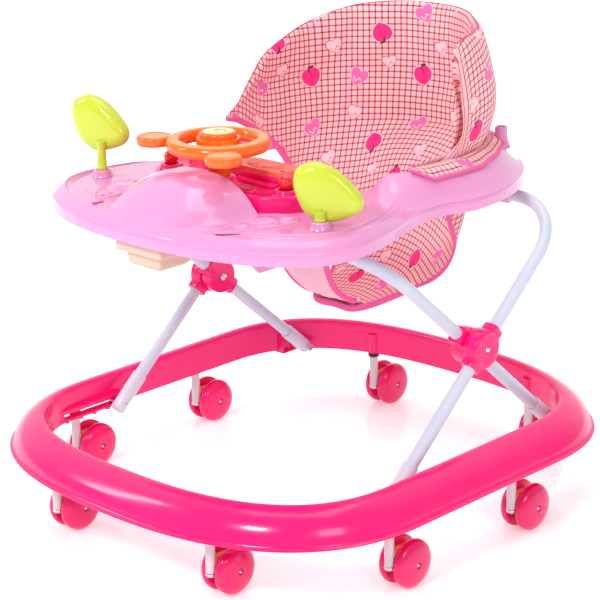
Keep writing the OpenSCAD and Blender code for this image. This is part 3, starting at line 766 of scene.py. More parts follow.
def hood():
    """Smooth bonnet on the front of the deck, blended into it at the foot."""
    rows = []
    for rho in [0.0, 0.1, 0.2, 0.3, 0.4, 0.5, 0.6, 0.68, 0.75, 0.81, 0.86, 0.9, 0.94, 0.97, 1.0, 1.03, 1.06,
                1.1, 1.15]:
        row = []
        for a in np.linspace(0, math.pi, 73):
            c_, s_ = math.cos(a), math.sin(a)
            x, y = 88 * rho * math.copysign(abs(c_) ** 0.7, c_), -156 - 91 * rho * abs(s_) ** 0.7
            if abs(x) > 122:
                x = math.copysign(122, x)
            top = DECK_Z - 2 + 38.4 * (1 - rho ** 3.0)
            base = deck(x, y) - 0.9
            hh = max(9 - abs(top - base), 0) / 9
            row.append((x, y, max(top, base) + hh * hh * 9 / 4 + (0 if top > base - 3 else -1.0)))
        rows.append(row)
    P = np.array(rows)
    h = grid("hood_shell", P, PALE, "tray", angle=60, sub=1)
    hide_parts("tray_hood")
    # rear edge: rolled lip and a wall down to the toy panel
    edge = [tuple(P[i, -1]) for i in range(len(rows) - 1, 0, -1)] + [tuple(P[i, 0]) for i in range(len(rows))]
    wall = [[(x, y - 0.4, z) for x, y, z in edge], [(x, y + 1.2, z - 0.2) for x, y, z in edge],
            [(x, y + 2.0, z - 1.0) for x, y, z in edge],
            [(x, y + 2.2, z - 2.4) for x, y, z in edge], [(x, y + 2.0, min(z - 3, 396)) for x, y, z in edge]]
    grid("hood_lip", wall, PALE, "tray", angle=60)


tray()
hood()


# ---------------------------------------------------------------- toys
def toys():
    # toy panel: deep pink moulding with a stepped rim
    right_ = [(26, -153), (70, -150), (92, -142), (112, -120), (120, -94), (121, -62), (112, -40), (88, -31),
              (60, -27)]
    out = catmull(right_ + [(-x, y) for x, y in right_[::-1]], 120, closed=True)
    c = out.mean(axis=0)
    sec = [(1.0, 397), (1.0, 409), (0.995, 412.6), (0.985, 414.4), (0.97, 415), (0.93, 415), (0.92, 414.4),
           (0.91, 413.6), (0.7, 413.4), (0.4, 413.4), (0.01, 413.4)]
    p = grid("panel_tray", [[(*(c + (q - c) * f), z) for q in out] for f, z in sec], HOT, "tray", wrap_v=True,
             angle=50)
    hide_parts("toy_panel")
    # raised blocks under the figure plate and on the far side
    block("panel_step_right", (-98, -38), (-84, -46), (411, 423.6), HOT, "tray", bevel=2.5)
    block("panel_step_left", (-21, 68), (-99, -57), (411, 423.6), HOT, "tray", bevel=2.5)
    block("panel_wall_front", (-24, 66), (-111, -100.5), (411, 418), HOT, "tray", bevel=2)
    # flared socket round the column
    lathe("column_socket", [(13, 412), (30, 413), (26, 414.6), (22, 417), (20, 420.4), (18.4, 422.4),
                            (17.2, 423.1), (13, 423.2), (12.7, 419), (13, 412)],
          (STEER_X, STEER_Y, 0), "z", HOT, "tray", segs=64, angle=50)
    for name, s in SIDES:
        lathe(f"button_boss_{name}", [(8.2, 413), (8.2, 418.4), (8.7, 419.5), (11.6, 419.7), (12.7, 418.9),
                                      (13, 417.6), (13.4, 415.4), (15.6, 413.4), (8.2, 413)],
              (s * BUTTON_X, BUTTON_Y, 0), "z", HOT, "tray", segs=48, angle=50)
        ball = [(8.7 * math.cos(t), 427 + 8.7 * math.sin(t)) for t in np.linspace(-0.95, math.pi / 2, 16)]
        b = lathe(f"push_ball_{name}", [(0, 411), (5.6, 411)] + ball, (s * BUTTON_X, BUTTON_Y, 0), "z", RED,
                  f"push_{name}", segs=48, angle=70)
        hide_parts(f"push_button_{name}")
        # speaker: domed oval with rows of dark dots, painted shade standing in for the grille holes
        R_ = rot("Z", -20 * s)
        rows = []
        for f, z in ((1.0, 413.2), (1.0, 415.6), (0.96, 416.8), (0.88, 417.4), (0.84, 417.0), (0.5, 417.3),
                     (0.02, 417.4)):
            a = circle(56)
            q = np.stack([17.5 * f * spow(np.cos(a), 0.9), 9.8 * f * np.sin(a), np.full(56, z)], 1)
            rows.append(q @ R_.T + [s * 46, -131, 0])
        sp = grid(f"speaker_{name}", rows, HOT, "tray", wrap_v=True, angle=50)
        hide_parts("speaker_grilles")
        for i in range(5):
            for j in range(-3, 4):
                u, v = j * 4.1 + (i % 2) * 2.05 - 1, (i - 2) * 3.0
                if (u / 14.2) ** 2 + (v / 7.6) ** 2 > 1:
                    continue
                q = R_ @ np.array([u, v, 0]) + [s * 46, -131, 0]
                lathe(f"speaker_dot_{name}_{i}_{j + 3}", [(1.25, 416.9), (1.25, 417.5), (0.9, 417.6),
                        (0, 417.6)], (q[0], q[1], 0), "z", GRILLE_HOLE_SHADE, "tray", segs=12)
    # figure plate with an engraved smile and a screw hole; the smile is raised lines in a darker salmon, painted
    # shade of the engraving
    oc = [(-16, -90), (-13, -95), (-6, -97), (54, -97), (62, -94), (66, -86), (67, -74), (63, -64), (54, -59.5),
          (0, -59), (-10, -61), (-16, -68), (-18.4, -79)]
    fp = plate("figure_plate_top", [tuple(q) for q in catmull(oc, 90, closed=True)], 423.4, 428.8, SALMON,
               "tray", bevel=1.4)
    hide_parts("figure_plate")
    for k, (x, y, r, a0, a1) in enumerate(((6, -78, 9, 200, 340), (30, -78, 9, 200, 340),
                                           (18, -74, 22, 215, 325), (46, -78, 6, 0, 350))):
        path = [(x + r * math.cos(math.radians(a)), y + r * 0.8 * math.sin(math.radians(a)),
                 428.75) for a in np.linspace(a0, a1, 26)]
        pipe(f"figure_line_{k}", path, 0.6, FIGURE_GROOVE_SHADE, "tray", segs=10)
    lathe("figure_screw", [(2.6, 428.7), (2.6, 429.1), (2.0, 429.2), (1.5, 428.4), (0, 428.2)], (60, -88, 0),
          "z", CAP, "tray", segs=24)


def dish(name, outline, z0, z1, mat, edge=2.4, body="steering"):
    """Solid with rounded upper and lower rims, its top face slightly dished."""
    c = np.mean(outline, axis=0)
    o = np.array(outline)
    r = np.linalg.norm(o - c, axis=1)[:, None]
    u = (o - c) / r
    def ring(e, z):
        return [(*q, z) for q in (c + u * np.maximum(r - e, 0.01))]
    h = z1 - z0
    rows = [ring(edge * 3, z0)]
    for a in np.linspace(0, math.pi / 2, 5):
        rows.append(ring(edge * (1 - math.sin(a)), z0 + edge * (1 - math.cos(a)) * 0.9))
    for a in np.linspace(0, math.pi / 2, 6):
        rows.append(ring(edge * (1 - math.cos(a)), z1 - edge + edge * math.sin(a)))
    rows.append(ring(edge * 1.8, z1 - 0.35))
    rows.append(ring(edge * 2.6, z1 - 0.8))
    rows.append(ring(r * 0.99, z1 - 1.0))
    rows.insert(0, ring(r * 0.99, z0))
    return grid(name, rows, mat, body, wrap_v=True, angle=60)


def steering():
    x0, y0 = STEER_X, STEER_Y
    lathe("column_tube", [(0, 423.4), (12.4, 423.4), (12.5, 425), (12.2, 440), (13.4, 447), (15.4, 450.4),
                          (4.9, 450.8), (4.9, 458), (0, 458)],
          (x0, y0, 0), "z", ORANGE, "tray", segs=56, angle=44)
    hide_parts("steering_column")
    # ring; its top face is a lighter peach copy of the orange, a painted highlight
    prof = [(42, 456), (42.4, 461), (43.4, 464.6), (45, 466.4), (46, 466.7), (47, 466.3), (54, 465.6),
            (55.4, 465.9), (56.6, 465.2), (58.2, 463), (59, 460), (58.4, 456), (56.4, 453), (53, 452),
            (46.5, 452), (43.2, 453.2), (42, 456)]
    ring_ = lathe("wheel_ring", prof, (x0, y0, 0), "z", ORANGE, "steering", segs=96, angle=50)
    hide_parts("steering_wheel")
    lathe("wheel_ring_highlight_face", [(45.6, 466.7), (46.4, 466.95), (55.4, 466.2), (56, 465.7)], (x0, y0, 0), "z",
          PEACH_HIGHLIGHT, "steering", segs=96)
    for k, a in enumerate((205, 320)):
        ca, sa = math.cos(math.radians(a)), math.sin(math.radians(a))
        ex, ey = x0 + 77 * ca, y0 + 77 * sa
        out = [(ex + 20.6 * math.cos(t),
                ey + 20.6 * math.sin(t)) for t in np.linspace(0, 2 * math.pi, 64, endpoint=False)]
        dish(f"wheel_ear_{k}", out, 453, 464, ORANGE, edge=3.6)
        # peach top face on each ear: painted highlight
        lathe(f"wheel_ear_highlight_face_{k}", [(17.4, 463.75), (16.8, 463.95), (15.4, 463.6), (0, 463.2)], (ex, ey, 0),
              "z", PEACH_HIGHLIGHT, "steering", segs=56)
    # cross bar and raised centre
    R_ = rot("Z", 160)
    rows = []
    for t in np.linspace(-44, 44, 24):
        a = circle(24)
        w = 7.4 + 1.6 * (abs(t) / 44) ** 2
        sec = np.stack([np.full(24, t), w * spow(np.cos(a), 0.5), 459.6 + 4.4 * spow(np.sin(a), 0.5)], 1)
        rows.append(sec @ R_.T + [x0, y0, 0])
    grid("wheel_bar", rows, ORANGE, "steering", wrap_v=True, caps=True, angle=50)
    lathe("wheel_hub", [(5.2, 451.6), (22, 451.6), (24, 452.4), (25, 454.4), (25, 464.6), (24.4, 466.2),
                        (22.8, 466.6), (21.3, 466.2), (21.3, 461.8), (5.2, 461.6), (5.2, 451.6)],
          (x0, y0, 0), "z", ORANGE, "steering", segs=80, angle=50)
    puck = lathe("horn_puck", [(0, 464.6), (20.6, 464.6), (20.9, 466), (20.9, 470.4), (20.2, 472.4),
                               (18.8, 473.4), (17.6, 473.3), (17.3, 472.9)],
                 (x0, y0, 0), "z", ORANGE, "horn", segs=80, angle=50)
    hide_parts("horn_button")
    lathe("horn_disc", [(17.4, 472.8), (17.2, 473.3), (12, 473.9), (5, 474), (0, 474)], (x0, y0, 0), "z", DISC,
          "horn", segs=64, angle=60)
    # generic swirl printed on the centre
    path = [(x0 + 2 + (9 - 5 * t) * math.cos(5.2 * t + 0.3), y0 + (5.5 - 3 * t) * math.sin(5.2 * t + 0.3),
             474.0) for t in np.linspace(0, 1, 40)]
    pipe("horn_swirl", path, 0.45, GREYINK, "horn", segs=8)


def mirrors():
    egg = catmull([(-24, 31), (-15, 33), (-2, 30), (12, 22), (28, 7), (37.5, -8), (33, -21), (16, -29),
                   (-5, -33), (-23, -25), (-33, -9), (-38, 11), (-34, 25)], 84, closed=True)
    c0 = np.array([-1.0, 0.0])
    for name, s, turn, zc in (("left", 1, 36, 434), ("right", -1, -14, 457)):
        M = rot("Z", turn)
        at = np.array([MIRROR_X, MIRROR_Y, 0.0])

        def put(q, e, yy):
            x, z = c0 + (q - c0) * e
            if s < 0:
                x = -x
            p = M @ np.array([8 + x, 11 + yy, zc + z]) + at
            return (s * p[0], p[1], p[2])
        rows = [[put(q, e, yy) for q in egg] for e, yy in ((0.001, -11.0), (0.2, -10.95), (0.4, -10.8),
                (0.62, -10.3), (0.78, -9.3), (0.88, -7.6), (0.95, -5.0), (0.985, -2.2), (1.0, 1.6),
                                                           (0.99, 5), (0.965, 7.6), (0.93, 9.6), (0.9, 10.6),
                                                                   (0.86, 10.9), (0.84, 10.4), (0.02, 10.4))]
        h = grid(f"mirror_leaf_{name}", rows, LIME, f"mirror_{name[0]}", wrap_v=True, angle=60)
        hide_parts(f"mirror_{name}")
        rows = [[put(q, e, yy) for q in egg] for e, yy in ((0.82, 10.5), (0.8, 11.0), (0.5, 11.0),
                (0.02, 11.0))]
        g = grid(f"mirror_glass_{name}", rows, FOIL, f"mirror_{name[0]}", wrap_v=True, angle=60)
        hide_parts(f"mirror_{name}_glass")
        top = zc - 22
        st = lathe(f"mirror_stem_{name}", [(0, 396), (5.6, 396), (5.8, 404.6), (6.8, 406.2), (6.8, 408.2),
                                           (5.6, 409.4), (5.2, top - 6), (6, top), (6.6, top + 4),
                                           (0, top + 5)],
                   (s * MIRROR_X, MIRROR_Y, 0), "z", LIME, f"mirror_{name[0]}", segs=40, angle=60)
        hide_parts(f"mirror_{name}")


def music_box():
    up_ = block("box_upper", (-37, 37), (-255, -196), (357.4, 383.6), CREAM, "tray", bevel=2.6, taper=0.8)
    rim = block("box_rim", (-37, 37), (-255, -196), (372.6, 375.6), CREAM, "tray", bevel=1.0)
    lo = block("box_lower", (-27, 27), (-247, -197), (342.2, 358.2), CREAM, "tray", bevel=3.2, taper=1.4)
    door = block("box_door", (-22, 22), (-242, -202), (340.6, 343), CREAM, "tray", bevel=0.8)
    for k, x in enumerate((-16, 0, 16)):
        block(f"box_rib_{k}", (x - 5, x + 5), (-239, -205), (340.1, 341.2), CREAM, "tray", bevel=0.5)
    for o in (up_, rim, lo):
        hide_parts("music_box")
    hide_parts("battery_door")


# dark red for the speaker's grille holes: painted shade
GRILLE_HOLE_SHADE = plastic("grille_hole_shade", srgb(176, 0, 52), 0.45, 0.0, 0.1)
# darker salmon for the smile's engraved lines: painted shade
FIGURE_GROOVE_SHADE = plastic("figure_groove_shade", srgb(236, 96, 84), 0.35, 0.1)
GREYINK = plastic("grey_ink", srgb(150, 140, 130), 0.5, 0.0)
toys()
steering()
mirrors()
music_box()


# ---------------------------------------------------------------- seat cloth
def motif_xy(u, v, cx, cy, turn, size):
    """Coordinates on a printed motif, 1 being about its half size."""
    c, s = math.cos(turn), math.sin(turn)
    du, dv = u - cx, v - cy
    x = (du * c + dv * s) / size
    y = (dv * c - du * s) / size
    return x, y


def below(n, limit, soft=0.06):
    """1 where n is under limit, with a soft edge."""
    return ((n * -1.0 + limit) / soft + 0.5).clamp()


def gingham(name, ground, line, cross, motifs=True):
    m = Mat(name, rough=0.85, spec=0.2, sheen=0.15)
    sep = m.t.nodes.new("ShaderNodeSeparateXYZ")
    m.t.links.new(m.co.outputs["UV"], sep.inputs[0])
    u, v = Num(m.t, sep.outputs[0]) * 1000.0, Num(m.t, sep.outputs[1]) * 1000.0
    p = 7.6
    lu = below(((u / p).fract() - 0.5).abs(), 0.12, 0.06)
    lv = below(((v / p).fract() - 0.5).abs(), 0.12, 0.06)
    wob = m.noise(45, 3)
    col = m.mix(wob, ground, [c * 0.94 for c in ground[:3]] + [1])
    col = m.mix(lu.max(lv) * 0.9, col, line)
    col = m.mix(lu * lv, col, cross)
    if motifs:
        T = 142.0
        tu, tv = (u / T).fract() * T, (v / T).fract() * T
        for kind, cx, cy, turn, size in (("apple", 24, 30, 0.3, 12.5), ("heart", 82, 24, -0.4, 12.0),
                                         ("line", 52, 66, 0.35, 10.5),
                                         ("apple", 112, 86, 3.5, 12.0), ("heart", 26, 106, 0.5, 11.5),
                                         ("line", 78, 122, -0.3, 10.0), ("line", 122, 44, 0.2, 9.0)):
            x, y = motif_xy(tu, tv, cx, cy, turn, size)
            ax = x.abs()
            if kind == "apple":
                q = y * 1.0 - ax.op("POWER", 0.5) * 0.3
                f = x * x + q * q
                body = below(f, 0.92)
                col = m.mix(below(f, 1.12), col, srgb(255, 205, 220))
                col = m.mix(body, col, srgb(250, 52, 132))
                dent = below(((x - 0.12) * 1.0).abs(), 0.035, 0.03) * below((y - 0.35).abs(), 0.3, 0.1)
                col = m.mix(dent, col, srgb(206, 20, 92))
                sx = x - y * 0.15 + 0.1
                stem = below(sx.abs(), 0.09, 0.04) * below((y - 0.95).abs(), 0.33, 0.04)
                lx, ly = x - 0.32, (y - 1.15) * 2.2
                leaf = below(lx * lx + ly * ly, 0.09, 0.02)
                col = m.mix(stem.max(leaf), col, srgb(92, 60, 66))
            else:
                q = y * 1.2 - ax.op("POWER", 0.5) * 0.8
                f = x * x + q * q
                if kind == "heart":
                    col = m.mix(below(f, 1.1), col, srgb(255, 200, 218))
                    col = m.mix(below(f, 0.92), col, srgb(240, 112, 178))
                    w = y * 1.6 - (x * 9.0).op("SINE") * 0.32
                    col = m.mix(below(w.abs(), 0.13, 0.05) * below(f, 0.42), col, srgb(255, 232, 242))
                else:
                    col = m.mix(below(f, 1.0), col, srgb(255, 210, 216))
                    rim = below((f - 0.92).abs(), 0.1, 0.04)
                    w = y * 1.5 - (x * 8.0).op("SINE") * 0.3
                    col = m.mix(rim.max(below(w.abs(), 0.1, 0.04) * below(f, 0.4)), col, srgb(206, 78, 112))
    m.colour(col)
    weave = (u * 4.2).op("SINE") * (v * 4.2).op("SINE")
    m.bump(weave * 0.3 + m.noise(90, 3), 0.35, 0.0009)
    return m.mat


def plain_cloth(name, rgb, scale=900):
    m = Mat(name, rough=0.85, spec=0.15, sheen=0.2)
    m.colour(m.mix(m.noise(60, 3), rgb, [c * 0.82 for c in rgb[:3]] + [1]))
    m.bump(m.noise(scale, 2), 0.35, 0.0006)
    return m.mat


CLOTH = gingham("cloth_print", srgb(255, 206, 208), srgb(214, 74, 96), srgb(120, 20, 44))
LINING = plain_cloth("cloth_lining", srgb(246, 196, 212))
BINDING = plain_cloth("binding_pink", srgb(246, 104, 168))
PIPING = plain_cloth("piping_dark", srgb(206, 84, 118))


def set_uv(o, uv, wrap_v=0, n=0):
    """Puts one UV pair per vertex; wrap_v is the length to add where a face crosses the closing seam."""
    layer = o.data.uv_layers.new(name="UVMap")
    for f in o.data.polygons:
        js = [o.data.loops[l].vertex_index % n for l in f.loop_indices] if n else []
        crossing = wrap_v and 0 in js and n - 1 in js
        for l in f.loop_indices:
            vi = o.data.loops[l].vertex_index
            a, b = uv[vi]
            if crossing and vi % n == 0:
                b += wrap_v[vi // n]
            layer.data[l].uv = (a * MM, b * MM)


# Stations from the far front tip round the back to the near one: a point on the top edge,
# the plan angle where the cloth crosses the collar, and a point on the leg edge.
STATIONS = [
    ((-136, 17, 446), 207, (-137, 17, 443)), ((-138, 40, 460), 199, (-138, 39, 436)),
    ((-139, 80, 505), 184, (-139, 76, 414)),
    ((-140.5, 104, 518), 172, (-138, 104, 391)), ((-141, 138, 531), 160, (-134, 128, 352)),
    ((-140, 165, 539), 150, (-126, 132, 309)),
    ((-128, 200, 549), 140, (-102, 140, 270)), ((-104, 232, 557), 125, (-66, 128, 243)),
    ((-60, 264, 560), 108, (-38, 62, 228)),
    ((0, 270, 560), 90, (0, 58, 226)), ((40, 256, 559), 72, (38, 62, 228)),
    ((76, 224, 558), 55, (66, 128, 243)),
    ((106, 193, 557), 40, (102, 140, 270)), ((126, 161, 556), 30, (126, 132, 309)),
    ((135, 134, 554), 20, (131, 114, 345)),
    ((138, 115, 547), 12, (136, 108, 375)), ((138, 117, 516), 8, (137, 104, 391)),
    ((140, 130, 477), 3, (138.5, 90, 404)),
    ((140, 124, 442), -3, (139, 76, 414)), ((139, 100, 427), -8, (139, 66, 417)),
    ((138.5, 66, 425), -13, (138.5, 52, 419.5)),
    ((138, 40, 423), -18, (138, 40, 421))]
WAY = {90: ((0, 205, 368), (0, 178, 290), (0, 125, 240)), 108: ((46, 204, 368), (42, 176, 290), (39, 122, 240)),
       125: ((88, 198, 368), (80, 172, 300), (71, 146, 260)), 140: ((113, 170, 368), (111, 158, 322),
               (106, 147, 290)),
       150: ((128, 152, 380), (129, 145, 352), (128, 138, 328))}


def seat_columns(n):
    T = np.array([s[0] for s in STATIONS], float)
    A = np.array([s[1] for s in STATIONS], float)
    B = np.array([s[2] for s in STATIONS], float)
    W, D = [], []
    for t, a, b in zip(T, A, B):
        f = min(1, max(0, (t[2] - b[2]) / 100))
        h = hole_at(math.radians(a), -5)
        mid = (t + b) / 2
        w = np.array([*h, 413.0]) * f + mid * (1 - f)
        W.append(w)
        key = int(180 - a) if a < 90 else int(a)
        if key in WAY:
            sx = 1 if a < 90 else -1
            D.append([np.array([sx * p[0], p[1], p[2]]) for p in WAY[key]])
        else:
            D.append([w + (b - w) * f2 for f2 in (0.3, 0.55, 0.8)])
    D = np.array(D)
    pick = lambda X: catmull(X, n)
    return pick(T), pick(np.array(W)), pick(D[:, 0]), pick(D[:, 1]), pick(D[:, 2]), pick(B), catmull(np.stack([A, A, A], 1), n)[:, 0]


def even(P, n):
    P = np.asarray(P)
    d = np.concatenate([[0], np.cumsum(np.linalg.norm(np.diff(P, axis=0), axis=1))])
    s = np.linspace(0, d[-1], n)
    return np.stack([np.interp(s, d, P[:, k]) for k in range(3)], 1), d[-1]


def puff(o, pin, pressure, frames=16, cap=9.0):
    """Short cloth run: air pressure fills the pad between its seams, then the result is kept."""
    g = o.vertex_groups.new(name="pin")
    for i, w in enumerate(pin):
        g.add([i], float(w), "REPLACE")
    before = np.array([v.co[:] for v in o.data.vertices])
    m = o.modifiers.new("cloth", "CLOTH")
    st = m.settings
    st.quality, st.mass, st.time_scale = 5, 0.15, 1.0
    st.tension_stiffness = st.compression_stiffness = 12
    st.shear_stiffness, st.bending_stiffness = 4, 0.15
    st.vertex_group_mass, st.pin_stiffness = "pin", 1.2
    st.use_pressure, st.uniform_pressure_force = True, pressure
    st.effector_weights.gravity = 0
    m.collision_settings.use_self_collision = False
    m.point_cache.frame_start, m.point_cache.frame_end = 1, frames
    for f in range(1, frames + 1):
        bpy.context.scene.frame_set(f)
    ev = o.evaluated_get(bpy.context.evaluated_depsgraph_get())
    after = np.array([v.co[:] for v in ev.data.vertices])
    o.modifiers.remove(m)
    bpy.context.scene.frame_set(1)
    d = after - before
    L = np.linalg.norm(d, axis=1)[:, None]
    d *= np.minimum(1, cap * MM / np.maximum(L, 1e-9))
    o.data.vertices.foreach_set("co", (before + d).ravel())
    o.data.update()


def seat():
    n, na, nb = 132, 26, 26
    T, W, D1, D2, D3, B, A = seat_columns(n)
    ulen = np.concatenate([[0], np.cumsum(np.linalg.norm(np.diff(W, axis=0), axis=1))])
    P, UV, total, pin, binding = [], [], [], [], []
    for i in range(n):
        t, w, b = T[i], W[i], B[i]
        mid = t * 0.46 + w * 0.54
        out = np.array([w[0], w[1] - SEAT_Y, 0])
        out /= np.linalg.norm(out)
        rise = min(1, max(0, (t[2] - w[2]) / 60))
        mid = mid + out * (6 + 11 * math.exp(-((A[i] - 40) / 26) ** 2)) * rise
        up_, La = even(catmull([t, mid, w], 30), na)
        dn_, Lb = even(catmull([w, D1[i], D2[i], D3[i], b], 40), nb)
        line = np.concatenate([up_, dn_[1:]])
        m = len(line)
        tan = np.gradient(line, axis=0)
        tan /= np.maximum(np.linalg.norm(tan, axis=1), 1e-6)[:, None]
        side = np.gradient(W, axis=0)[i]
        side /= np.linalg.norm(side)
        nrm = np.cross(side, tan)
        nrm /= np.maximum(np.linalg.norm(nrm, axis=1), 1e-6)[:, None]
        nrm *= np.sign((nrm @ out) + 1e-6)[:, None] if abs(nrm[3] @ out) > 0 else 1
        s = np.concatenate([np.linspace(0, La, na), La + np.linspace(0, Lb, nb)[1:]])
        # half thickness: round top edge, full pad, thin below the collar
        thick = 5.2 * rise + 1.2 * (1 - rise)
        th = np.where(s < La, thick * np.sqrt(np.clip(1 - (1 - np.clip(s / 9, 0, 1)) ** 2, 0.02, 1)), 1.2)
        fade = np.clip((La - s) / 26, 0, 1)
        th = np.where(s < La, 1.2 + (th - 1.2) * smooth(fade) if rise > 0 else th, th)
        th[0] = 0.8
        th[-1] = 0.7
        ins = line - nrm * th[:, None]
        outs = line + nrm * th[:, None]
        loop = np.concatenate([ins, outs[::-1]])
        P.append(loop)
        # inner face counts down from the top edge, outer face continues over it
        v = np.concatenate([-s, s[::-1]])
        for k in range(2 * m):
            UV.append((ulen[i] + 14, La + v[k] + 400))
        a = A[i]
        seam = min(abs(a - c) for c in (72, 108, 46, 134)) < 1.6
        for k in range(2 * m):
            kk = k if k < m else 2 * m - 1 - k
            ss = s[kk]
            zc = line[kk][2]
            hold = 1.0 if ss < 5 or ss > La - 4 or i in (0, n - 1) else 0.0
            if k < m and (seam or abs(zc - 470) < 2.8) and ss > 5:
                hold = 1.0
            pin.append(max(hold, 0.02))
    o = grid("seat_pad", P, CLOTH, "tray", wrap_v=True, caps=True, angle=75)
    N = len(P[0])
    set_uv(o, UV, n=N)
    puff(o, pin, 6.0)
    # fine cloth unevenness: shallow folds gathered towards the seams
    co = np.array([v.co[:] for v in o.data.vertices])
    no = np.array([v.normal[:] for v in o.data.vertices])
    for k in range(len(co)):
        p = co[k]
        q = noise.noise(Vector((p[0] * 34, p[1] * 34, p[2] * 12))) * 1.0 + noise.noise(Vector((p[0] * 70 + 9, p[1] * 70, p[2] * 30))) * 0.5
        low = 0.45 if p[2] < 0.41 else 1.0
        co[k] += no[k] * q * 0.0019 * low
    o.data.vertices.foreach_set("co", co.ravel())
    o.data.update()
    sm = o.modifiers.new("sub", "SUBSURF")
    sm.levels = sm.render_levels = 1
    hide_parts("seat_back")
    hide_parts("seat_sling")
    # pink bias binding round the leg edge and thin dark line on the top edge
    edge = [tuple(p) for p in B]
    flat_pipe("seat_binding_leg", edge, 1.9, 4.2, BINDING)
    top = [tuple(p + [0, 0, 0.3]) for p in T[2:int(n * 0.7)]]
    pipe("seat_piping_top", top, 0.7, PIPING, "tray", segs=8)
    return o


def flat_pipe(name, path, r0, r1, mat, body="tray"):
    """Folded tape along a path: r0 half thick across the cloth, r1 half deep along it."""
    P = np.array(path)
    T = np.gradient(P, axis=0)
    T /= np.linalg.norm(T, axis=1)[:, None]
    rows = []
    a = circle(14)
    for p, t in zip(P, T):
        out = np.array([p[0], p[1] - SEAT_Y, 0])
        out /= max(np.linalg.norm(out), 1e-6)
        up_ = np.cross(t, out)
        up_ /= max(np.linalg.norm(up_), 1e-6)
        o2 = np.cross(up_, t)
        rows.append(p + np.outer(np.cos(a) * r0, o2) + np.outer(spow(np.sin(a), 0.7) * r1, up_))
    return grid(name, rows, mat, body, wrap_v=True, caps=True, angle=70)


def hem():
    """Skirt of the cloth that lies over the collar, with its bound edge."""
    rows, edge, UV = [], [], []
    angs = np.radians(np.linspace(-20, 200, 150))
    for i, a in enumerate(angs):
        ro, rh = radial(a)
        deg = math.degrees(a)
        end = min(1, (deg + 21) / 9, (201 - deg) / 9)
        wid = (20 + 1.2 * math.sin(a * 7) + 0.5 * math.sin(a * 23 + 1)) * math.sqrt(max(end, 0.02))
        col = []
        lo = []
        for f in np.linspace(0, 1, 12):
            rr = rh - 3 + (wid + 3) * f
            z = skin(min(ro - rr, ro - rh), ro - rh)
            z += 2.4 + 0.5 * f * math.sin(a * 17 + 2 * math.sin(a * 7))
            z = max(z, 0) if rr > rh else 420.4
            col.append((rr * math.cos(a), SEAT_Y + rr * math.sin(a), z + 1.1))
            lo.append((rr * math.cos(a), SEAT_Y + rr * math.sin(a), z - 0.5))
        rows.append(col + lo[::-1])
        edge.append(tuple((np.array(col[-1]) + lo[-1]) / 2))
        for k in range(24):
            kk = k if k < 12 else 23 - k
            UV.append((math.degrees(a) * 2.9, 380 + kk * 2.2))
    o = grid("seat_skirt", rows, CLOTH, "tray", wrap_v=True, caps=True, angle=70)
    set_uv(o, UV, n=24)
    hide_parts("seat_hem")
    flat_pipe("seat_binding_hem", edge, 3.6, 1.9, BINDING)
    return o


def strap():
    """Front strap between the legs: print inside, plain lining outside, bound on both edges."""
    mid = catmull([(-17, 400), (-13, 360), (-3, 312), (14, 272), (38, 246), (72, 231)], 44)
    halfw = np.interp(np.linspace(0, 1, 44), [0, 0.25, 0.55, 1], [40, 39, 37, 33])
    UV = []
    s = np.concatenate([[0], np.cumsum(np.linalg.norm(np.diff(mid[:, :2], axis=0), axis=1))])
    P, e0, e1 = [], [], []
    for i, (y, z) in enumerate(mid[:, :2]):
        t = np.gradient(mid[:, :2], axis=0)[i]
        t /= np.linalg.norm(t)
        nrm = np.array([-t[1], t[0]])
        row_a, row_b = [], []
        for f in np.linspace(-1, 1, 25):
            x = halfw[i] * f
            bow = -5.0 * (1 - f * f) * math.sin(math.pi * i / 43) + 1.2 * math.sin(f * 9 + i * 0.3) * math.sin(math.pi * i / 43)
            yy, zz = np.array([y, z]) + nrm * bow
            row_a.append((x, yy + nrm[0] * 1.1, zz + nrm[1] * 1.1))
            row_b.append((x, yy - nrm[0] * 1.1, zz - nrm[1] * 1.1))
        P.append(row_a + row_b[::-1])
        e0.append(tuple((np.array(row_a[0]) + row_b[0]) / 2))
        e1.append(tuple((np.array(row_a[-1]) + row_b[-1]) / 2))
        for k in range(50):
            kk = k if k < 25 else 49 - k
            UV.append((kk * 3.1, 600 - s[i]))
    o = grid("seat_strap", P, CLOTH, "tray", wrap_v=True, caps=True, angle=60)
    set_uv(o, UV, n=50)
    o.data.materials.append(LINING)
    front_n = Vector((0, -1, -0.6)).normalized()
    for f in o.data.polygons:
        vi = [v % 50 for v in f.vertices]
        if len(vi) == 4 and f.normal.dot(front_n) > 0:
            f.material_index = 1
    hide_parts("seat_sling")
    flat_pipe("seat_binding_strap_far", e0[:40], 1.8, 3.8, BINDING)
    flat_pipe("seat_binding_strap_near", e1[:40], 1.8, 3.8, BINDING)
    return o


PAD, SKIRT, STRAP = seat(), hem(), strap()


# ---------------------------------------------------------------- stage
def node(tree, kind, *, operation=None, **inputs):
    n = tree.nodes.new("ShaderNode" + kind)
    if operation:
        n.operation = operation
    for name, value in inputs.items():
        n.inputs[name.replace("_", " ")].default_value = value
    return n


FLOOR_HALF = 9.0  # half the floor's side, m
BACK = (-math.sin(AZ) * math.cos(0.5), math.cos(AZ) * math.cos(0.5), math.sin(0.5))


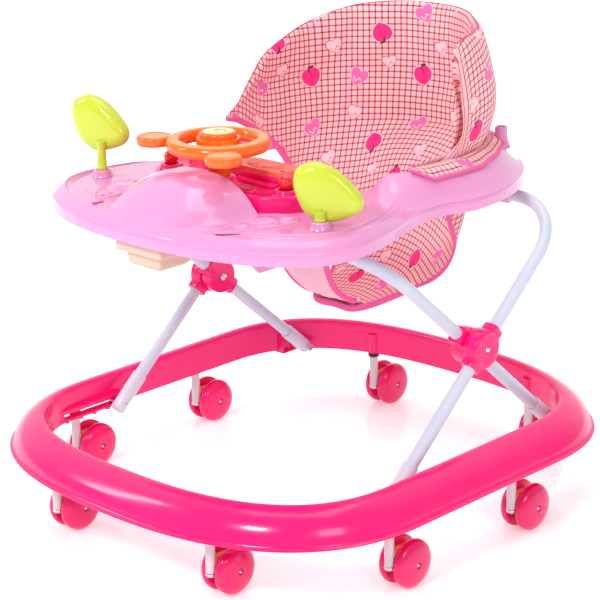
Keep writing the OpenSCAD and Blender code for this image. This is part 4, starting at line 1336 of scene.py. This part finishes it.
def stage():
    side = np.linspace(-FLOOR_HALF, FLOOR_HALF, 7) * 1000
    m = Mat("floor", rough=0.16, spec=0.35)
    m.colour(m.mix(m.noise(1.5, 2), srgb(240, 240, 242), srgb(245, 245, 246)))
    m.rough(m.noise(6, 2) * 0.06 + 0.1)
    # the floor's own light grows away from the walker, so that it ends in white
    tree = m.mat.node_tree
    place = node(tree, "TexCoord")
    far = node(tree, "VectorMath", operation="LENGTH")
    glow = node(tree, "MapRange", From_Min=0.7, From_Max=2.6, To_Min=0.34, To_Max=0.95)
    tree.links.new(place.outputs["Object"], far.inputs[0])
    tree.links.new(far.outputs["Value"], glow.inputs["Value"])
    tree.links.new(glow.outputs["Result"], m.sh.inputs["Emission Color"])
    m.sh.inputs["Emission Strength"].default_value = 1.0
    floor = grid("floor", [[(x, y, -0.2) for x in side] for y in side], m.mat, None)
    w = bpy.data.worlds.new("studio")
    bpy.context.scene.world = w
    w.use_nodes = True
    tree = w.node_tree
    bg = tree.nodes["Background"]
    bg.inputs["Color"].default_value = (1, 1, 1, 1)
    # a bright side of the room behind the walker, in place of a wall
    place = node(tree, "TexCoord")
    toward = node(tree, "VectorMath", operation="DOT_PRODUCT")
    toward.inputs[1].default_value = BACK
    glow = node(tree, "MapRange", From_Min=0.35, From_Max=0.75, To_Min=0.5, To_Max=1.0)
    tree.links.new(place.outputs["Generated"], toward.inputs[0])
    tree.links.new(toward.outputs["Value"], glow.inputs["Value"])
    tree.links.new(glow.outputs["Result"], bg.inputs["Strength"])

    def area(name, loc, aim, size, power, size_y=None):
        d = bpy.data.lights.new(name, "AREA")
        d.energy, d.size = power, size
        if size_y:
            d.shape, d.size_y = "RECTANGLE", size_y
        o = bpy.data.objects.new(name, d)
        bpy.context.scene.collection.objects.link(o)
        o.location = loc
        o.rotation_euler = (Vector(aim) - Vector(loc)).to_track_quat("-Z", "Y").to_euler()

    area("key", (0.5, -2.1, 1.9), (0, 0, 0.3), 0.5, 30, 0.34)
    area("strip", (-1.6, -1.5, 1.5), (0, 0, 0.3), 0.25, 12, 1.1)
    area("fill", (2.4, -0.9, 1.6), (0, 0, 0.3), 0.9, 14)
    area("top", (-0.2, 0.3, 2.6), (0, 0, 0.2), 1.6, 16)
    v = bpy.context.scene.view_settings
    v.view_transform, v.look = "Standard", "None"


stage()
